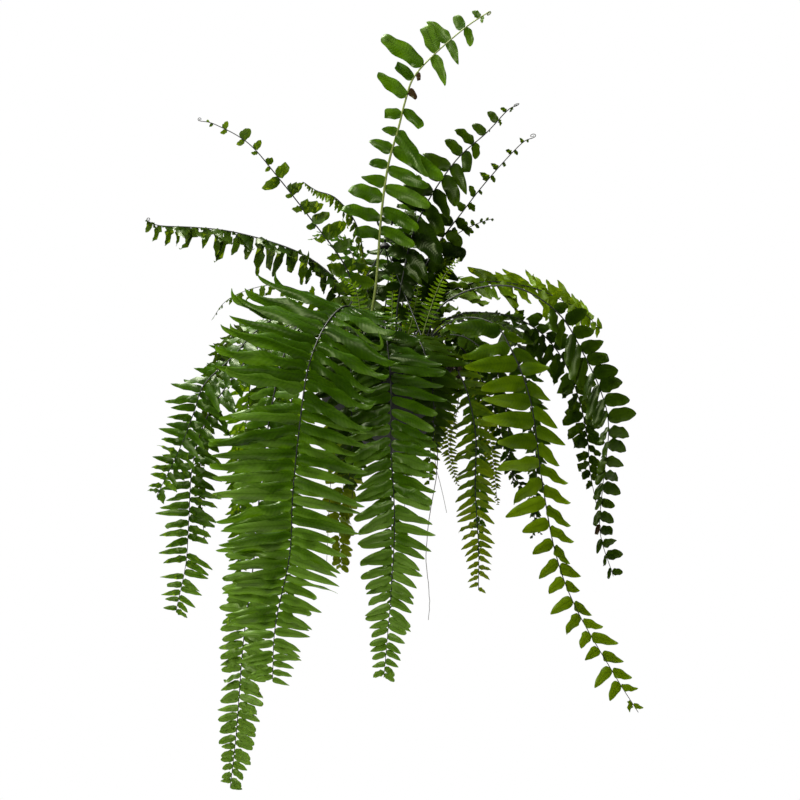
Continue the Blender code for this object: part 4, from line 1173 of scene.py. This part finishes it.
def make_crown():
    """The rootstock: a rough mound with the stubs of old stalks and brown scales."""
    chance = random.Random("crown")
    foot_z = SOIL_Z - 0.001
    foot_radius = CROWN_RADIUS + CROWN_SPREAD
    profile = [(foot_radius, foot_z), (foot_radius, foot_z + 0.003),
               (CROWN_RADIUS + 0.008, CROWN_Z - 0.004), (CROWN_RADIUS, CROWN_Z - 0.001)]
    for share in (0.88, 0.74, 0.60, 0.46, 0.32, 0.18, 0.06):
        profile.append((CROWN_RADIUS * share, CROWN_Z))
    crown = turned_by_steps("matted_crown", profile, 60, ROOT_LOOK, 80)
    for vertex in crown.data.vertices:
        if vertex.co.z > CROWN_Z - 0.005:
            vertex.co.z += chance.uniform(-0.003, 0.003)
            vertex.co.x += chance.uniform(-0.002, 0.002)
            vertex.co.y += chance.uniform(-0.002, 0.002)

    stub_route = [(0.0, 0.0, -0.004), (0.0006, 0.0, 0.004), (0.0, 0.0008, 0.011),
                  (0.001, 0.001, 0.017)]
    stub = stalk_tube("stalk_stub", stub_route, 0.0019, 0.0013, STALK_LOOKS["brown"])
    stub_places = []
    for _ in range(STUB_COUNT):
        radius = CROWN_RADIUS * math.sqrt(chance.uniform(0.02, 0.95))
        stub_places.append(on_circle(radius, chance.uniform(0, 360), CROWN_Z))
    scatter_copies(stub, stub_places, crown, chance, (0.55, 1.25))
    bpy.data.objects.remove(stub, do_unlink=True)

    scale_route = [(0.0, 0.0, -0.002), (0.0015, 0.0, 0.004), (0.004, 0.0, 0.008)]
    scale = stalk_tube("crown_scale", scale_route, 0.0008, 0.0002, ROOT_LOOK, resolution=0)
    scale_places = []
    for _ in range(SCALE_COUNT):
        radius = (CROWN_RADIUS + 0.006) * math.sqrt(chance.uniform(0.01, 1.0))
        scale_places.append(on_circle(radius, chance.uniform(0, 360), CROWN_Z - 0.001))
    scatter_copies(scale, scale_places, crown, chance, (0.6, 1.4))
    bpy.data.objects.remove(scale, do_unlink=True)
    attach(crown, "root")
    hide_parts("root_crown")


STRAND_COUNT = 130


def make_root_mat():
    """Old roots matted over the right of the rim, that cross the lip and hang on the wall."""
    chance = random.Random("root mat")
    strands = []
    for number in range(STRAND_COUNT):
        azimuth = chance.gauss(0.0, 8.5)
        inner = chance.uniform(CROWN_RADIUS + 0.004, RIM_RADIUS - 0.016)
        drop = chance.uniform(0.006, 0.036) * (1.0 - min(1.0, abs(azimuth) / 26.0) ** 2)
        lift = chance.uniform(0.001, 0.010)
        swerve = chance.gauss(0.0, 3.5)
        wall = pot_outer_radius(LIP_HEIGHT + drop)
        points = [
            on_circle(inner, azimuth - swerve, SOIL_Z + chance.uniform(0.002, 0.010)),
            on_circle(RIM_RADIUS - 0.009, azimuth, RIM_Z + lift),
            on_circle(RIM_RADIUS + 0.001 + 0.5 * lift, azimuth + 0.4 * swerve, RIM_Z + 0.6 * lift),
            on_circle(RIM_RADIUS + 0.002 + lift, azimuth + swerve, RIM_Z - LIP_HEIGHT),
            on_circle(max(wall, RIM_RADIUS - 0.004) + 0.6 * lift, azimuth + 1.6 * swerve,
                      RIM_Z - LIP_HEIGHT - drop),
        ]
        route = smooth_route(points, spans_per_gap=3)
        thick = chance.uniform(0.0005, 0.0012)
        strands.append(stalk_tube(f"root_strand_{number}", route, thick, thick * 0.4, ROOT_LOOK,
                                  resolution=0))
    mat = strands[0]
    join_all(strands, mat)
    mat.name = "matted_old_roots"
    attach(mat, "root")
    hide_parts("root_mat")


RUNNERS = (
    # name, azimuth where it crosses the rim, and the points that it hangs through
    ("runner_right_long", -31, [(0.078, -0.092, -0.300), (0.076, -0.094, -0.380),
                                (0.066, -0.098, -0.440), (0.060, -0.100, -0.500),
                                (0.065, -0.100, -0.560), (0.064, -0.100, -0.595)]),
    ("runner_right_near", -60, [(0.066, -0.106, -0.300), (0.074, -0.108, -0.370),
                                (0.090, -0.106, -0.440)]),
    ("runner_right_short", -20, [(0.108, -0.052, -0.280), (0.098, -0.062, -0.330),
                                 (0.094, -0.066, -0.360)]),
    ("runner_left_long", -126, [(-0.074, -0.100, -0.300), (-0.078, -0.104, -0.400),
                                (-0.084, -0.102, -0.520)]),
    ("runner_left_near", -112, [(-0.046, -0.112, -0.300), (-0.044, -0.112, -0.380),
                                (-0.050, -0.108, -0.450)]),
    ("runner_back", 58, [(0.044, 0.114, -0.300), (0.034, 0.116, -0.370),
                         (0.030, 0.112, -0.450)]),
)


RUNNER_SPANS = 6            # spans of a runner's route from point to point
RUNNER_RADIUS = 0.0009
RUNNER_TIP_RADIUS = 0.00035
RUNNER_WOBBLE = 0.0006


def make_runners():
    """Thin bare runners that creep over the crown and the rim and hang."""
    chance = random.Random("runners")
    for name, azimuth, hanging in RUNNERS:
        points = [
            on_circle(CROWN_RADIUS - 0.006, azimuth, CROWN_Z + 0.001),
            on_circle(CROWN_RADIUS, azimuth, CROWN_Z + 0.001),
            on_circle(RIM_RADIUS - 0.012, azimuth, RIM_Z + 0.008),
            on_circle(RIM_RADIUS + 0.002, azimuth, RIM_Z + 0.005),
            on_circle(RIM_RADIUS + 0.009, azimuth, RIM_Z - 0.012),
        ]
        route = smooth_route(points + hanging, spans_per_gap=RUNNER_SPANS)
        for spot in route[RUNNER_SPANS * len(points):]:
            spot[0] += chance.uniform(-RUNNER_WOBBLE, RUNNER_WOBBLE)
            spot[1] += chance.uniform(-RUNNER_WOBBLE, RUNNER_WOBBLE)
        runner = stalk_tube(
            name + "_grown", route, RUNNER_RADIUS, RUNNER_TIP_RADIUS, RUNNER_LOOK)
        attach(runner, "root")
        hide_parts(name)


# ---------------------------------------------------------------- hanger

WIRE_RADIUS = 0.0012
HOOK_RADIUS = 0.0016
HOOK_BEND = 0.0110
COLLAR_Z = -0.046
COLLAR_RADIUS = 0.0085
COLLAR_HEIGHT = 0.008
COLLAR_FOOT_Z = COLLAR_Z - COLLAR_HEIGHT / 2
WIRE_AZIMUTHS = (71, 191, 311)
WIRE_GAP = 0.0003           # between a wire and what it lies on


def make_hook():
    """An open wire hook over the origin, its tip rounded, on a straight shank."""
    centre_z = HOOK_RADIUS - HOOK_BEND
    shank = [(0.0, 0.0, COLLAR_Z + COLLAR_HEIGHT / 2), (0.0, 0.0, centre_z - 0.020),
             (-0.0012, 0.0, centre_z - 0.016), (-0.0052, 0.0, centre_z - 0.0105)]
    bow = []
    for degrees in range(208, -33, -8):
        angle = math.radians(degrees)
        bow.append((HOOK_BEND * math.cos(angle), 0.0, centre_z + HOOK_BEND * math.sin(angle)))
    hook = stalk_tube("wire_hook", shank + bow, HOOK_RADIUS, HOOK_RADIUS, WIRE_LOOK, resolution=3)
    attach(hook, "root")
    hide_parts("hanger_hook")


def make_collar():
    """The small turned collar that gathers the three wires under the hook."""
    top = COLLAR_Z + COLLAR_HEIGHT / 2
    profile = [
        (COLLAR_RADIUS - 0.0008, COLLAR_FOOT_Z), (COLLAR_RADIUS, COLLAR_FOOT_Z + 0.0008),
        (COLLAR_RADIUS, COLLAR_Z - 0.0004), (COLLAR_RADIUS - 0.0008, COLLAR_Z + 0.0006),
        (COLLAR_RADIUS * 0.55, top - 0.0006), (COLLAR_RADIUS * 0.50, top),
    ]
    collar = turned_by_steps("wire_collar", profile, 32, POT_LOOK, 35)
    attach(collar, "root")
    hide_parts("hanger_collar")


def make_wires():
    """Each wire runs from the collar to the rim and hooks under its lip."""
    start_radius = COLLAR_RADIUS * 0.6
    outside = RIM_RADIUS + WIRE_RADIUS + WIRE_GAP
    under_z = RIM_Z - LIP_HEIGHT - WIRE_RADIUS - 0.0008
    for number, azimuth in enumerate(WIRE_AZIMUTHS, start=1):
        points = [
            on_circle(start_radius, azimuth, COLLAR_FOOT_Z - WIRE_GAP),
            on_circle(start_radius, azimuth, COLLAR_FOOT_Z - 0.0040),
            on_circle(outside - 0.0012, azimuth, RIM_Z + 0.008),
            on_circle(outside, azimuth, RIM_Z + 0.003),
            on_circle(outside, azimuth, RIM_Z - LIP_HEIGHT + 0.001),
            on_circle(outside - 0.0008, azimuth, under_z + 0.0006),
            on_circle(RIM_RADIUS - 0.0002, azimuth, under_z),
            on_circle(RIM_RADIUS - LIP_WIDTH + WIRE_RADIUS + 0.0006, azimuth, under_z),
        ]
        wire = stalk_tube(f"wire_{number}", points, WIRE_RADIUS, WIRE_RADIUS, WIRE_LOOK,
                          resolution=2)
        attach(wire, "root")
        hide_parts(f"hanger_wire_{number}")


# ---------------------------------------------------------------- making it all

add_camera()
light_studio()
add_floor()
KIT = make_leaflet_kit()
grow_front_fronds()
grow_left_fronds()
grow_right_fronds()
grow_upright_fronds()
grow_young_fronds()
grow_back_fronds()
for left_leaflet, right_leaflet in KIT.values():
    bpy.data.objects.remove(left_leaflet, do_unlink=True)
    bpy.data.objects.remove(right_leaflet, do_unlink=True)
make_pot()
make_soil()
make_crown()
make_root_mat()
make_runners()
make_hook()
make_collar()
make_wires()
